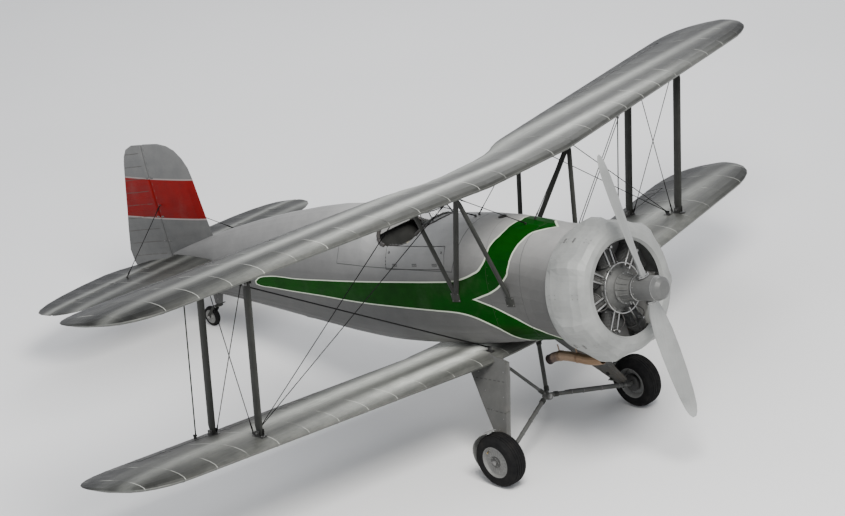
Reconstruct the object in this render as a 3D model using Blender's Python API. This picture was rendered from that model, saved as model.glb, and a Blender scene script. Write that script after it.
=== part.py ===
"""Single-seat aerobatic biplane with a seven-cylinder radial engine.

Metres.  The airframe is drawn level: nose toward -Y, left wing toward +X,
+Z up, thrust line on Z = 0 and Y = 0 at the leading edge of the upper wing
on the centre line.  At the end the whole airframe is set on its three wheels
with the tail down, centred over the origin.
"""
import math
import bpy
import bmesh
from mathutils import Vector, Matrix

for old in list(bpy.data.objects):
    bpy.data.objects.remove(old, do_unlink=True)

# ----------------------------------------------------------------- sizes
GAP = 0.0003            # joint line between two fixed pieces
CUT = 0.0007            # the same where one piece is shaped to another
HALF_SPAN = 3.30        # both wings
SWEEP_ROOT = 0.40       # sweep and dihedral start here
TIP_START = 2.84        # where the rounded tip begins
TIP_LIFT = 0.026        # the underside of the tip curves up to the top

UP_Y, UP_Z, UP_CHORD = 0.0, 0.905, 0.907
UP_SWEEP, UP_DIHEDRAL = math.radians(11.3), math.radians(1.34)
LO_Y, LO_Z, LO_CHORD = 0.485, -0.424, 0.944
LO_SWEEP, LO_DIHEDRAL = math.radians(8.5), math.radians(4.0)
UP_PANEL_ROOT = 0.66    # outer edge of the upper centre section
LO_PANEL_ROOT = 0.34    # outer edge of the lower carry-through
FOIL_T = 0.105          # section thickness / chord
FOIL_CAMBER = 0.022
TE_THICK = 0.0035

SPAR_F, SPAR_GAP = 0.16, 0.536     # lower front spar from the leading edge, rear spar behind it
SPAR_FU, SPAR_GAPU = 0.180, 0.515  # the same at the upper ends of the outer struts
CAB_F, CAB_R = 0.142, 0.666        # upper cabane fittings from the leading edge
STRUT_X = 2.226
STRUT_CHORD, STRUT_THICK = 0.074, 0.030

AIL_IN, AIL_OUT = 1.42, 2.78       # aileron ends
HINGE_F, HINGE_FU = 0.800, 0.830   # aileron hinge / chord, lower and upper wing
AIL_END_GAP = 0.011
AIL_NOSE_GAP = 0.0065
ROD_X = 2.262                      # aileron link rod
ROD_ARM = 0.100
ROD_R = 0.007

CAB_TOP_X = 0.583
CAB_A = (0.362, 0.733, 0.056)      # rear lower cabane fitting
CAB_B = (0.362, 0.165, 0.030)      # front lower cabane fitting
CAB_CHORD, CAB_THICK = 0.046, 0.024

PROP_Y, PROP_R, PROP_TILT = -0.822, 1.017, math.radians(7.3)
HUB_R = 0.088
COWL_FRONT, COWL_REAR = -0.655, -0.285
COWL_R, COWL_LIP_R, COWL_WALL = 0.470, 0.300, 0.012
CYL_COUNT, CYL_Y = 7, -0.470

WHEEL_X, WHEEL_Y, WHEEL_Z = 0.736, 0.287, -1.018
TYRE_R, TYRE_W, RIM_R = 0.19734, 0.150, 0.116
AXLE_R = 0.016
APEX = (0.0, 0.464, -0.849)
VEE_TOP = (0.262, 0.676, -0.400)
TW_X, TW_Y, TW_Z = 0.0, 4.193, -0.277
TW_R, TW_W = 0.085, 0.048
TW_PIVOT_Y = 4.050

TAIL_Z, TAIL_HALF = 0.250, 1.350
EL_HINGE_Y = 4.420
RUD_HINGE_Y = 4.478
FIN_TOP = 1.222

DOOR_Y0, DOOR_Y1, DOOR_Z0, DOOR_Z1 = 0.800, 1.440, 0.262, 0.412
DOOR_GAP = 0.0055
WALL = 0.022

# ----------------------------------------------------------------- materials
PAINT = {
    "silver": ((0.42, 0.43, 0.43, 1), 0.55, 0.35),
    "hull": ((0.48, 0.48, 0.47, 1), 0.25, 0.42),
    "metal": ((0.50, 0.50, 0.50, 1), 0.80, 0.35),
    "dark": ((0.055, 0.055, 0.05, 1), 0.30, 0.45),
    "fairing": ((0.16, 0.16, 0.15, 1), 0.30, 0.45),
    "steel": ((0.35, 0.35, 0.35, 1), 0.95, 0.35),
    "engine": ((0.07, 0.07, 0.07, 1), 0.60, 0.50),
    "tyre": ((0.015, 0.015, 0.015, 1), 0.0, 0.80),
    "rim": ((0.52, 0.52, 0.52, 1), 0.55, 0.40),
    "exhaust": ((0.30, 0.20, 0.13, 1), 0.80, 0.55),
    "prop": ((0.30, 0.31, 0.31, 1), 0.75, 0.35),
    "leather": ((0.16, 0.07, 0.035, 1), 0.0, 0.60),
    "panel": ((0.03, 0.03, 0.032, 1), 0.0, 0.50),
    "glass": ((0.75, 0.82, 0.84, 1), 0.0, 0.05),
}

PARTS = []


def finish(ob, paint, origin=None, smooth=35):
    """Name, colour and origin of one finished piece."""
    base, metallic, rough = PAINT[paint]
    mat = bpy.data.materials.new(ob.name + "_mat")
    mat.use_nodes = True
    b = mat.node_tree.nodes["Principled BSDF"]
    b.inputs["Base Color"].default_value = base
    b.inputs["Metallic"].default_value = metallic
    b.inputs["Roughness"].default_value = rough
    ob.data.materials.clear()
    ob.data.materials.append(mat)
    if origin is not None:
        o = Vector(origin)
        ob.data.transform(Matrix.Translation(-o))
        ob.location = o
    if smooth:
        ob.data.shade_smooth()
        ob.data.set_sharp_from_angle(angle=math.radians(smooth))
    PARTS.append(ob)
    return ob


def make(name, verts, faces):
    me = bpy.data.meshes.new(name)
    me.from_pydata([tuple(v) for v in verts], [], faces)
    bm = bmesh.new()
    bm.from_mesh(me)
    bmesh.ops.remove_doubles(bm, verts=bm.verts, dist=1e-6)
    bmesh.ops.recalc_face_normals(bm, faces=bm.faces)
    if bm.calc_volume(signed=True) < 0:
        bmesh.ops.reverse_faces(bm, faces=bm.faces)
    bm.to_mesh(me)
    bm.free()
    ob = bpy.data.objects.new(name, me)
    bpy.context.collection.objects.link(ob)
    return ob


def loft(name, rings, closed=False):
    """Skin over equal rings of points; flat caps unless closed on itself."""
    n = len(rings[0])
    verts = [p for r in rings for p in r]
    faces = []
    m = len(rings)
    last = m if closed else m - 1
    for i in range(last):
        j = (i + 1) % m
        for k in range(n):
            k2 = (k + 1) % n
            faces.append((i * n + k, i * n + k2, j * n + k2, j * n + k))
    if not closed:
        faces.append(tuple(range(n)))
        faces.append(tuple((m - 1) * n + k for k in range(n)))
    return make(name, verts, faces)


def prism(name, outline, axis, a, b):
    """Extrude a 2-D outline along X, Y or Z between a and b."""
    def put(p, t):
        return {"X": (t, p[0], p[1]), "Y": (p[0], t, p[1]), "Z": (p[0], p[1], t)}[axis]
    return loft(name, [[put(p, a) for p in outline], [put(p, b) for p in outline]])


def box(name, lo, hi):
    return prism(name, [(lo[0], lo[1]), (hi[0], lo[1]), (hi[0], hi[1]), (lo[0], hi[1])], "Z", lo[2], hi[2])


def frame_of(d):
    d = Vector(d).normalized()
    up = Vector((0, 0, 1)) if abs(d.z) < 0.95 else Vector((0, 1, 0))
    u = d.cross(up).normalized()
    return u, u.cross(d).normalized()


def rod(name, p0, p1, r, n=12, r1=None):
    p0, p1 = Vector(p0), Vector(p1)
    u, w = frame_of(p1 - p0)
    r1 = r if r1 is None else r1
    rings = []
    for p, rr in ((p0, r), (p1, r1)):
        rings.append([p + u * rr * math.cos(2 * math.pi * k / n) + w * rr * math.sin(2 * math.pi * k / n)
                      for k in range(n)])
    return loft(name, rings)


def pipe_path(name, pts, r, n=12, bore=0.0):
    """Tube along a path; with a bore it gets a real wall and open ends."""
    pts = [Vector(p) for p in pts]
    rings_o, rings_i = [], []
    ref = Vector((1, 0, 0))
    for i, p in enumerate(pts):
        a = pts[max(i - 1, 0)]
        b = pts[min(i + 1, len(pts) - 1)]
        d = (b - a).normalized()
        u = (ref - d * ref.dot(d)).normalized()
        w = d.cross(u)
        ring = [u * math.cos(2 * math.pi * k / n) + w * math.sin(2 * math.pi * k / n) for k in range(n)]
        rings_o.append([p + q * r for q in ring])
        rings_i.append([p + q * bore for q in ring])
    if bore <= 0:
        return loft(name, rings_o)
    return loft(name, rings_o + rings_i[::-1], closed=True)


def streamline(name, p0, p1, chord, thick, n=14, taper=0.55):
    """Strut with a teardrop section, its chord lying fore and aft."""
    p0, p1 = Vector(p0), Vector(p1)
    d = (p1 - p0).normalized()
    c = Vector((0, 1, 0))
    c = (c - d * c.dot(d)).normalized()
    w = d.cross(c).normalized()
    prof = []
    for k in range(n):
        t = 2 * math.pi * k / n
        cx = 0.5 * (1 - math.cos(t))
        th = 1.35 * math.sqrt(max(cx, 0)) * (1 - cx) ** 0.75 + 0.02
        s = 1 if math.sin(t) >= 0 else -1
        if abs(math.sin(t)) < 1e-9:
            s, th = 0, 0
        prof.append(((cx - 0.42) * chord, s * th * thick * 0.78))
    length = (p1 - p0).length
    rings = []
    for f, sc in ((0.0, taper), (0.06, 1.0), (0.94, 1.0), (1.0, taper)):
        o = p0 + d * length * f
        rings.append([o + c * a * sc + w * b * sc for a, b in prof])
    return loft(name, rings)


def revolve(name, profile, centre, axis="Y", n=32, start=0.0, closed=True):
    """Turn (along, radius) points round an axis; a closed profile gives a ring."""
    rings = []
    for k in range(n):
        t = start + 2 * math.pi * k / n
        ring = []
        for a, r in profile:
            c, s = r * math.cos(t), r * math.sin(t)
            ring.append({"Y": (centre[0] + c, centre[1] + a, centre[2] + s),
                         "X": (centre[0] + a, centre[1] + c, centre[2] + s),
                         "Z": (centre[0] + c, centre[1] + s, centre[2] + a)}[axis])
        rings.append(ring)
    if closed:
        return loft(name, rings, closed=True)
    n_p = len(profile)
    verts, faces = [], []
    first_axis = profile[0][1] < 1e-9
    last_axis = profile[-1][1] < 1e-9
    for r in rings:
        verts.extend(r)
    for i in range(n):
        j = (i + 1) % n
        for k in range(n_p - 1):
            a, b, c, d = i * n_p + k, i * n_p + k + 1, j * n_p + k + 1, j * n_p + k
            if k == 0 and first_axis:
                faces.append((a, b, c))
            elif k == n_p - 2 and last_axis:
                faces.append((a, b, d))
            else:
                faces.append((a, b, c, d))
    if not first_axis:
        faces.append(tuple(i * n_p for i in range(n)))
    if not last_axis:
        faces.append(tuple(i * n_p + n_p - 1 for i in range(n)))
    return make(name, verts, faces)


def boolean(ob, other, op, drop=True):
    m = ob.modifiers.new("b", "BOOLEAN")
    m.operation = op
    m.solver = "EXACT"
    m.object = other
    dg = bpy.context.evaluated_depsgraph_get()
    me = bpy.data.meshes.new_from_object(ob.evaluated_get(dg))
    ob.modifiers.clear()
    old = ob.data
    ob.data = me
    bpy.data.meshes.remove(old)
    if drop:
        bpy.data.objects.remove(other, do_unlink=True)
    bm = bmesh.new()
    bm.from_mesh(ob.data)
    bmesh.ops.remove_doubles(bm, verts=bm.verts, dist=2e-6)
    bmesh.ops.dissolve_degenerate(bm, edges=bm.edges, dist=2e-6)
    bm.to_mesh(ob.data)
    bm.free()
    return ob


def cut(ob, other, drop=True):
    return boolean(ob, other, "DIFFERENCE", drop)


def join(ob, other, drop=True):
    return boolean(ob, other, "UNION", drop)


def meet(ob, other, drop=True):
    return boolean(ob, other, "INTERSECT", drop)


def grown(ob, d):
    """Copy of a closed piece moved outward along its normals."""
    me = ob.data.copy()
    bm = bmesh.new()
    bm.from_mesh(me)
    bm.normal_update()
    moved = {v: v.normal * d for v in bm.verts}
    for v, q in moved.items():
        v.co += q
    bm.to_mesh(me)
    bm.free()
    c = bpy.data.objects.new(ob.name + "_grown", me)
    bpy.context.collection.objects.link(c)
    return c


# ----------------------------------------------------------------- wing section
def foil(n=13, t=FOIL_T, camber=FOIL_CAMBER):
    """Upper and lower surface from nose to tail as (x, z), chord 1."""
    up, lo = [], []
    for k in range(n):
        x = 0.5 * (1 - math.cos(math.pi * k / (n - 1)))
        yt = 5 * t * (0.2969 * math.sqrt(x) - 0.1260 * x - 0.3516 * x ** 2 + 0.2843 * x ** 3 - 0.1036 * x ** 4)
        p = 0.35
        yc = camber / p ** 2 * (2 * p * x - x * x) if x < p else camber / (1 - p) ** 2 * ((1 - 2 * p) + 2 * p * x - x * x)
        up.append((x, yc + yt))
        lo.append((x, yc - yt))
    return up, lo


def foil_at(x, t=FOIL_T, camber=FOIL_CAMBER):
    yt = 5 * t * (0.2969 * math.sqrt(x) - 0.1260 * x - 0.3516 * x ** 2 + 0.2843 * x ** 3 - 0.1036 * x ** 4)
    p = 0.35
    yc = camber / p ** 2 * (2 * p * x - x * x) if x < p else camber / (1 - p) ** 2 * ((1 - 2 * p) + 2 * p * x - x * x)
    return yc + yt, yc - yt


def ring_of(x, y_le, chord, z, thin=1.0, t=FOIL_T, camber=FOIL_CAMBER, n=13, cut_at=None):
    up, lo = foil(n, t * thin, camber * thin)
    te = TE_THICK * 0.5
    pts = []
    for a, b in reversed(up):
        pts.append((x, y_le + a * chord, z + b * chord + te * a))
    for a, b in lo[1:]:
        pts.append((x, y_le + a * chord, z + b * chord - te * a))
    return pts


def wing_line(x, y0, z0, sweep, dihedral):
    a = max(0.0, abs(x) - SWEEP_ROOT)
    return y0 + math.tan(sweep) * a, z0 + math.tan(dihedral) * a


def tip_shape(x):
    """Chord trimmed at nose and tail in the rounded tip: (front, rear, thinness)."""
    if x <= TIP_START:
        return 0.0, 0.0, 1.0
    f = min(1.0, (x - TIP_START) / (HALF_SPAN - TIP_START))
    w = (1 - f ** 2.6) ** (1 / 2.6)
    return 0.47 * (1 - w), 0.53 * (1 - w) * 0.98, max(0.30, (1 - f ** 2.4) ** 0.5)


TIP_STATIONS = [TIP_START + (HALF_SPAN - TIP_START) * f for f in (0.0, 0.22, 0.42, 0.60, 0.75, 0.86, 0.94, 0.985)]


def panel_rings(side, x0, y0, z0, chord, sweep, dihedral, stations, grow=0.0):
    rings = []
    for x in [x0] + stations:
        y, z = wing_line(x, y0, z0, sweep, dihedral)
        fr, rr, thin = tip_shape(x)
        rings.append(ring_of(side * x, y + fr * chord, chord * (1 - fr - rr), z + TIP_LIFT * (1 - thin),
                             thin / max(1 - fr - rr, 0.3) if thin < 1 else 1.0))
    return rings


def hinge_of(chord):
    """Aileron hinge as a fraction of the chord of that wing."""
    return HINGE_FU if chord == UP_CHORD else HINGE_F


def aileron_rings(side, y0, z0, chord, sweep, dihedral, x0, x1):
    """Rear part of the section with a round nose on the hinge line."""
    rings = []
    hf = hinge_of(chord)
    for x in (x0, x1):
        y, z = wing_line(x, y0, z0, sweep, dihedral)
        u, l = foil_at(hf)
        te = TE_THICK * 0.5
        zc = z + 0.5 * (u + l) * chord
        r = 0.5 * (u - l) * chord + te * hf
        yc = y + hf * chord
        pts = []
        for f in (1.0, 0.94, 0.88):
            uu, _ = foil_at(f)
            pts.append((side * x, y + f * chord, z + uu * chord + te * f))
        for k in range(9):
            t = math.pi / 2 + math.pi * k / 8
            pts.append((side * x, yc + r * math.cos(t), zc + r * math.sin(t)))
        for f in (0.88, 0.94, 1.0):
            _, ll = foil_at(f)
            pts.append((side * x, y + f * chord, z + ll * chord - te * f))
        rings.append(pts)
    return rings


def hinge_point(x, y0, z0, chord, sweep, dihedral):
    y, z = wing_line(x, y0, z0, sweep, dihedral)
    hf = hinge_of(chord)
    u, l = foil_at(hf)
    return Vector((x, y + hf * chord, z + 0.5 * (u + l) * chord))


def aileron_bay(side, y0, z0, chord, sweep, dihedral):
    """Cutter that clears the aileron out of the wing panel."""
    out = []
    hf = hinge_of(chord)
    u, l = foil_at(hf)
    r = 0.5 * (u - l) * chord
    for x in (AIL_IN - AIL_END_GAP, AIL_OUT + AIL_END_GAP):
        y, z = wing_line(x, y0, z0, sweep, dihedral)
        ya = y + hf * chord - r - AIL_NOSE_GAP
        out.append([(side * x, ya, z - 0.2), (side * x, y + chord * 1.3, z - 0.2),
                    (side * x, y + chord * 1.3, z + 0.2), (side * x, ya, z + 0.2)])
    return loft("bay", out)


SIDES = (("right", -1), ("left", 1))
UP = (UP_Y, UP_Z, UP_CHORD, UP_SWEEP, UP_DIHEDRAL)
LO = (LO_Y, LO_Z, LO_CHORD, LO_SWEEP, LO_DIHEDRAL)

# ----------------------------------------------------------------- fuselage
# y, half width, bottom, widest height, top, lower squareness, upper squareness
HULL = [
    (-0.275, 0.425, -0.395, 0.000, 0.440, 2.0, 2.0),
    (-0.200, 0.412, -0.374, 0.005, 0.450, 2.1, 2.05),
    (-0.060, 0.390, -0.345, 0.015, 0.462, 2.5, 2.15),
    (0.120, 0.372, -0.343, 0.025, 0.492, 3.0, 2.25),
    (0.370, 0.362, -0.354, 0.030, 0.532, 3.6, 2.3),
    (0.600, 0.360, -0.364, 0.035, 0.546, 4.0, 2.4),
    (0.760, 0.360, -0.368, 0.040, 0.550, 4.0, 2.4),
    (0.900, 0.360, -0.370, 0.045, 0.552, 4.0, 2.4),
    (1.080, 0.359, -0.370, 0.050, 0.548, 4.0, 2.4),
    (1.320, 0.355, -0.369, 0.055, 0.522, 4.0, 2.5),
    (1.560, 0.346, -0.362, 0.060, 0.522, 4.0, 2.5),
    (1.660, 0.340, -0.356, 0.062, 0.560, 4.0, 2.4),
    (1.730, 0.336, -0.350, 0.065, 0.640, 4.0, 2.1),
    (1.850, 0.328, -0.338, 0.070, 0.662, 4.0, 1.9),
    (2.100, 0.308, -0.308, 0.080, 0.664, 4.0, 1.85),
    (2.400, 0.280, -0.268, 0.090, 0.645, 3.8, 1.85),
    (2.800, 0.240, -0.213, 0.105, 0.604, 3.6, 1.85),
    (3.200, 0.196, -0.158, 0.125, 0.548, 3.4, 1.85),
    (3.600, 0.151, -0.105, 0.145, 0.478, 3.2, 1.85),
    (3.950, 0.106, -0.064, 0.165, 0.404, 3.0, 1.9),
    (4.200, 0.072, -0.038, 0.180, 0.350, 2.8, 2.0),
    (4.438, 0.034, -0.016, 0.190, 0.300, 2.6, 2.2),
]
HULL_N = 36


def hull_at(y):
    for a, b in zip(HULL, HULL[1:]):
        if a[0] <= y <= b[0]:
            f = (y - a[0]) / (b[0] - a[0])
            return [a[i] + f * (b[i] - a[i]) for i in range(7)]
    return list(HULL[0] if y < HULL[0][0] else HULL[-1])


def hull_ring(st, inset=0.0, n=HULL_N):
    y, hw, zb, zm, zt, el, eu = st
    hw, zb, zt = hw - inset, zb + inset, zt - inset
    pts = []
    for k in range(n):
        t = 2 * math.pi * (k + 0.5) / n
        c, s = math.cos(t), math.sin(t)
        e = eu if s >= 0 else el
        x = hw * math.copysign(abs(c) ** (2 / e), c)
        z = zm + (zt - zm if s >= 0 else zm - zb) * math.copysign(abs(s) ** (2 / e), s)
        pts.append((x, y, z))
    return pts


def hull_x(y, z):
    """Half width of the skin at a height."""
    _, hw, zb, zm, zt, el, eu = hull_at(y)
    h, e = (zt - zm, eu) if z >= zm else (zm - zb, el)
    return hw * max(0.0, 1 - (abs(z - zm) / h) ** e) ** (1 / e)


def hull(name, inset=0.0, y0=None, y1=None):
    sts = [list(s) for s in HULL]
    if y0 is not None:
        sts = [hull_at(y0)] + [s for s in sts if y0 < s[0] < y1] + [hull_at(y1)]
    elif inset < 0:
        sts[0][0] += inset
        sts[-1][0] -= inset
    return loft(name, [hull_ring(s, inset) for s in sts])


fuselage = hull("fuselage")
COCKPIT_Y0, COCKPIT_Y1 = 0.640, 1.690
HOLE_Y0, HOLE_Y1, HOLE_W = 1.110, 1.620, 0.262
FLOOR = -0.235
room = hull("room", WALL, COCKPIT_Y0, COCKPIT_Y1)
cut(room, box("below", (-1, 0, -1), (1, 3, FLOOR)))
cut(room, box("above", (-1, 1.60, 0.470), (1, 3, 1)))
rim = []
for k in range(24):
    t = 2 * math.pi * (k + 0.5) / 24
    c, s = math.cos(t), math.sin(t)
    rim.append((HOLE_W * math.copysign(abs(c) ** 0.55, c),
                0.5 * (HOLE_Y0 + HOLE_Y1) + 0.5 * (HOLE_Y1 - HOLE_Y0) * math.copysign(abs(s) ** 0.55, s)))
hatch = prism("hatch", rim, "Z", 0.20, 0.95)
cut(fuselage, room)
cut(fuselage, hatch)

# side flaps of the cockpit, hinged on their lower edge
doors = {}
for nm, sd in SIDES:
    slab = hull("slab", 0.0, DOOR_Y0, DOOR_Y1)
    x0, x1 = sorted((sd * 0.18, sd * 0.5))
    meet(slab, box("keep", (x0, DOOR_Y0 - 0.1, DOOR_Z0), (x1, DOOR_Y1 + 0.1, DOOR_Z1)))
    cut(slab, hull("inner", 0.014, DOOR_Y0 - 0.05, DOOR_Y1 + 0.05))
    slab.name = "cockpit_flap_" + nm
    doors[nm] = slab
    cut(fuselage, box("doorway", (x0, DOOR_Y0 - DOOR_GAP, DOOR_Z0 - DOOR_GAP), (x1, DOOR_Y1 + DOOR_GAP, DOOR_Z1 + DOOR_GAP)))

# ----------------------------------------------------------------- lower wing
lower_mid = loft("lower_carry_through", [
    ring_of(x, LO_Y - 0.045 * (1 - (abs(x) / LO_PANEL_ROOT) ** 1.5), LO_CHORD, LO_Z)
    for x in (-LO_PANEL_ROOT + GAP, -0.17, 0.0, 0.17, LO_PANEL_ROOT - GAP)])
cut(fuselage, grown(lower_mid, CUT))

panels, ailerons = {}, {}
for nm, sd in SIDES:
    for tag, W, root in (("upper", UP, UP_PANEL_ROOT), ("lower", LO, LO_PANEL_ROOT)):
        y0, z0, ch, sw, di = W
        st = ([SWEEP_ROOT] if root < SWEEP_ROOT else []) + [AIL_IN - 0.02] + TIP_STATIONS
        wing = loft("%s_wing_%s" % (tag, nm), panel_rings(sd, root, y0, z0, ch, sw, di, st))
        cut(wing, aileron_bay(sd, y0, z0, ch, sw, di))
        panels[tag, nm] = wing
        ail = loft("%s_aileron_%s" % (tag, nm), aileron_rings(sd, y0, z0, ch, sw, di, AIL_IN, AIL_OUT))
        ailerons[tag, nm] = ail

for nm, sd in SIDES:
    # the root rib of the lower panel is shaped to the side of the body
    cut(panels["lower", nm], hull("body", -CUT))

# ----------------------------------------------------------------- upper centre section
def centre_ring(x):
    a = abs(x)
    y = UP_Y + math.tan(UP_SWEEP) * max(0.0, a - SWEEP_ROOT)
    z = UP_Z + math.tan(UP_DIHEDRAL) * max(0.0, a - SWEEP_ROOT)
    f = min(1.0, max(0.0, (a - 0.16) / (UP_PANEL_ROOT - 0.16)))
    short = 0.155 * 0.5 * (1 + math.cos(math.pi * f))
    return ring_of(x, y, UP_CHORD - short, z, t=FOIL_T * UP_CHORD / (UP_CHORD - short))


XS = [-UP_PANEL_ROOT + GAP, -0.58, -0.49, -0.40, -0.30, -0.16, 0.0, 0.16, 0.30, 0.40, 0.49, 0.58, UP_PANEL_ROOT - GAP]
upper_mid = loft("upper_centre_section", [centre_ring(x) for x in XS])

# ----------------------------------------------------------------- struts
struts = []
for nm, sd in SIDES:
    for tag, off, offu in (("front", SPAR_F, SPAR_FU), ("rear", SPAR_F + SPAR_GAP, SPAR_FU + SPAR_GAPU)):
        yl, zl = wing_line(STRUT_X, LO_Y, LO_Z, LO_SWEEP, LO_DIHEDRAL)
        yu, zu = wing_line(STRUT_X, UP_Y, UP_Z, UP_SWEEP, UP_DIHEDRAL)
        a = (sd * STRUT_X, yl + off, zl + foil_at(off / LO_CHORD)[0] * LO_CHORD - 0.006)
        b = (sd * STRUT_X, yu + offu, zu + foil_at(offu / UP_CHORD)[1] * UP_CHORD + 0.006)
        s = streamline("strut_%s_%s" % (tag, nm), a, b, STRUT_CHORD, STRUT_THICK)
        cut(s, grown(panels["lower", nm], CUT))
        cut(s, grown(panels["upper", nm], CUT))
        struts.append(s)

cabanes = []
for nm, sd in SIDES:
    zt = lambda f: UP_Z + 0.003 + foil_at(f)[1] * UP_CHORD + 0.004
    yt = math.tan(UP_SWEEP) * (CAB_TOP_X - SWEEP_ROOT)
    fa = (sd * CAB_TOP_X, yt + CAB_F, zt(CAB_F / UP_CHORD))
    ra = (sd * CAB_TOP_X, yt + CAB_R, zt(CAB_R / UP_CHORD))
    A = (sd * (CAB_A[0] - 0.012), CAB_A[1], CAB_A[2])
    B = (sd * (CAB_B[0] - 0.004), CAB_B[1], CAB_B[2])
    c = streamline("cabane_" + nm, B, fa, CAB_CHORD, CAB_THICK, 12)
    join(c, streamline("d", A, fa, CAB_CHORD, CAB_THICK, 12))
    join(c, streamline("r", A, ra, CAB_CHORD, CAB_THICK, 12))
    cut(c, hull("body", -CUT))
    cut(c, grown(upper_mid, CUT))
    cabanes.append(c)

# ----------------------------------------------------------------- wires
def wire_pair(name, p0, p1, spread, r=0.0032):
    """Two parallel bracing wires joined at both ends by their end fittings."""
    p0, p1 = Vector(p0), Vector(p1)
    off = Vector((0, spread * 0.5, 0))
    w = rod(name, p0 - off, p1 - off, r, 8)
    w2 = rod("w2", p0 + off, p1 + off, r, 8)
    d = (p1 - p0).normalized()
    for p, q in ((p0, d), (p1, -d)):
        c = p + q * 0.02
        e = rod("end", c - off - Vector((0, 0.008, 0)), c + off + Vector((0, 0.008, 0)), 0.006, 8)
        join(w, e)
    join(w, w2)
    return w


def wire_fan(name, p0, ends, r=0.0032):
    """Two bracing wires that leave one fitting for two different spars."""
    p0 = Vector(p0)
    w = rod(name, p0 - Vector((0, 0.018, 0)), p0 + Vector((0, 0.018, 0)), 0.007, 8)
    for e in ends:
        d = (e - p0).normalized()
        join(w, rod("w", p0, e, r, 8))
        join(w, rod("end", e - d * 0.045, e, 0.0055, 8))
    return w


wires = []
for nm, sd in SIDES:
    yl, zl = wing_line(STRUT_X, LO_Y, LO_Z, LO_SWEEP, LO_DIHEDRAL)
    yu, zu = wing_line(STRUT_X, UP_Y, UP_Z, UP_SWEEP, UP_DIHEDRAL)
    fly0 = Vector((sd * (STRUT_X - 0.055), yu + SPAR_FU + SPAR_GAPU - 0.075, zu - 0.052))
    fly1 = Vector((sd * 0.310, LO_Y + 0.095, LO_Z + 0.078))
    lan0 = Vector((sd * (STRUT_X - 0.055), yl + SPAR_F + 0.060, zl + 0.086))
    fan = [Vector((sd * 0.650, CAB_F + 0.093, UP_Z - 0.044)), Vector((sd * 0.650, CAB_R, UP_Z - 0.044))]
    wires.append(wire_pair("flying_wires_" + nm, fly0, fly1, 0.024))
    wires.append(wire_fan("landing_wires_" + nm, lan0, fan))

# ----------------------------------------------------------------- tail
def tail_ring(x, y0, y1, z, th):
    """Thin symmetrical section between y0 and y1."""
    pts = []
    n = 7
    for k in range(n):
        f = 1 - k / (n - 1)
        pts.append((f, math.sqrt(max(0.0, f)) * (1 - 0.80 * f) * 1.15))
    ring = []
    for f, h in pts:
        ring.append((x, y0 + f * (y1 - y0), z + (h * th if f > 0 else 0)))
    for f, h in reversed(pts[:-1]):
        ring.append((x, y0 + f * (y1 - y0), z - h * th))
    return ring


def lens(u0, u1, th0, n=7, blunt=0.55):
    """(u, half thickness) from nose to hinge, thickest at the hinge side."""
    out = []
    for k in range(n):
        f = k / (n - 1)
        out.append((u0 + f * (u1 - u0), th0 * (1 - (1 - f) ** 2) ** blunt))
    return out


def taper(u0, u1, th0, n=5):
    """(u, half thickness) from the hinge side to the trailing edge."""
    return [(u0 + (u1 - u0) * k / (n - 1), th0 * (1 - 0.88 * k / (n - 1))) for k in range(n)]


TP_T = 0.022     # half thickness of tailplane and fin at the hinge
# tailplane: x, leading edge
TP_LE = [(0.0, 3.800), (0.30, 3.852), (0.70, 3.935), (1.00, 4.012), (1.14, 4.066), (1.24, 4.140), (1.305, 4.225), (1.338, 4.315)]
EL_TE = [(0.120, 4.640), (0.150, 4.655), (0.220, 4.700), (0.345, 4.792), (0.460, 4.838), (0.70, 4.842), (0.95, 4.812),
         (1.12, 4.765), (1.24, 4.702), (1.305, 4.635), (1.340, 4.545)]


def interp(tab, x):
    if x <= tab[0][0]:
        return tab[0][1]
    for a, b in zip(tab, tab[1:]):
        if a[0] <= x <= b[0]:
            f = (x - a[0]) / (b[0] - a[0])
            return a[1] + f * (b[1] - a[1])
    return tab[-1][1]


def tp_half(x):
    f = max(0.0, (x - 1.0) / 0.35)
    return TP_T * math.sqrt(max(0.12, 1 - f ** 2))


TP_REAR = EL_HINGE_Y - TP_T - 0.0065
rings = []
tpx = [-x for x, _ in reversed(TP_LE)] + [x for x, _ in TP_LE[1:]]
for x in tpx:
    h = tp_half(abs(x))
    prof = lens(interp(TP_LE, abs(x)), TP_REAR, h)
    prof[0] = (prof[0][0], 0.0012)
    rings.append([(x, u, TAIL_Z + t) for u, t in prof] + [(x, u, TAIL_Z - t) for u, t in reversed(prof)])
tailplane = loft("tailplane", rings)
cut(fuselage, grown(tailplane, CUT))


def elevator_rings(sd):
    out = []
    for x, te in EL_TE:
        h = tp_half(x) * 0.97
        pts = []
        for k in range(7):
            t = math.pi / 2 + math.pi * k / 6
            pts.append((sd * x, EL_HINGE_Y + h * math.cos(t), TAIL_Z + h * math.sin(t)))
        tp = taper(EL_HINGE_Y, te, h)
        low = [(sd * x, u, TAIL_Z - t) for u, t in tp[1:]]
        high = [(sd * x, u, TAIL_Z + t) for u, t in reversed(tp[1:])]
        out.append(pts + low + high)
    return out


elevator = rod("elevator", (-0.16, EL_HINGE_Y, TAIL_Z), (0.16, EL_HINGE_Y, TAIL_Z), 0.0120, 16)
for nm, sd in SIDES:
    join(elevator, loft("half", elevator_rings(sd)))
cut(fuselage, rod("hole", (-0.2, EL_HINGE_Y, TAIL_Z), (0.2, EL_HINGE_Y, TAIL_Z), 0.0190, 16))
cut(fuselage, box("slot", (-0.2, EL_HINGE_Y, TAIL_Z - 0.019), (0.2, 4.60, TAIL_Z + 0.019)))

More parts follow.
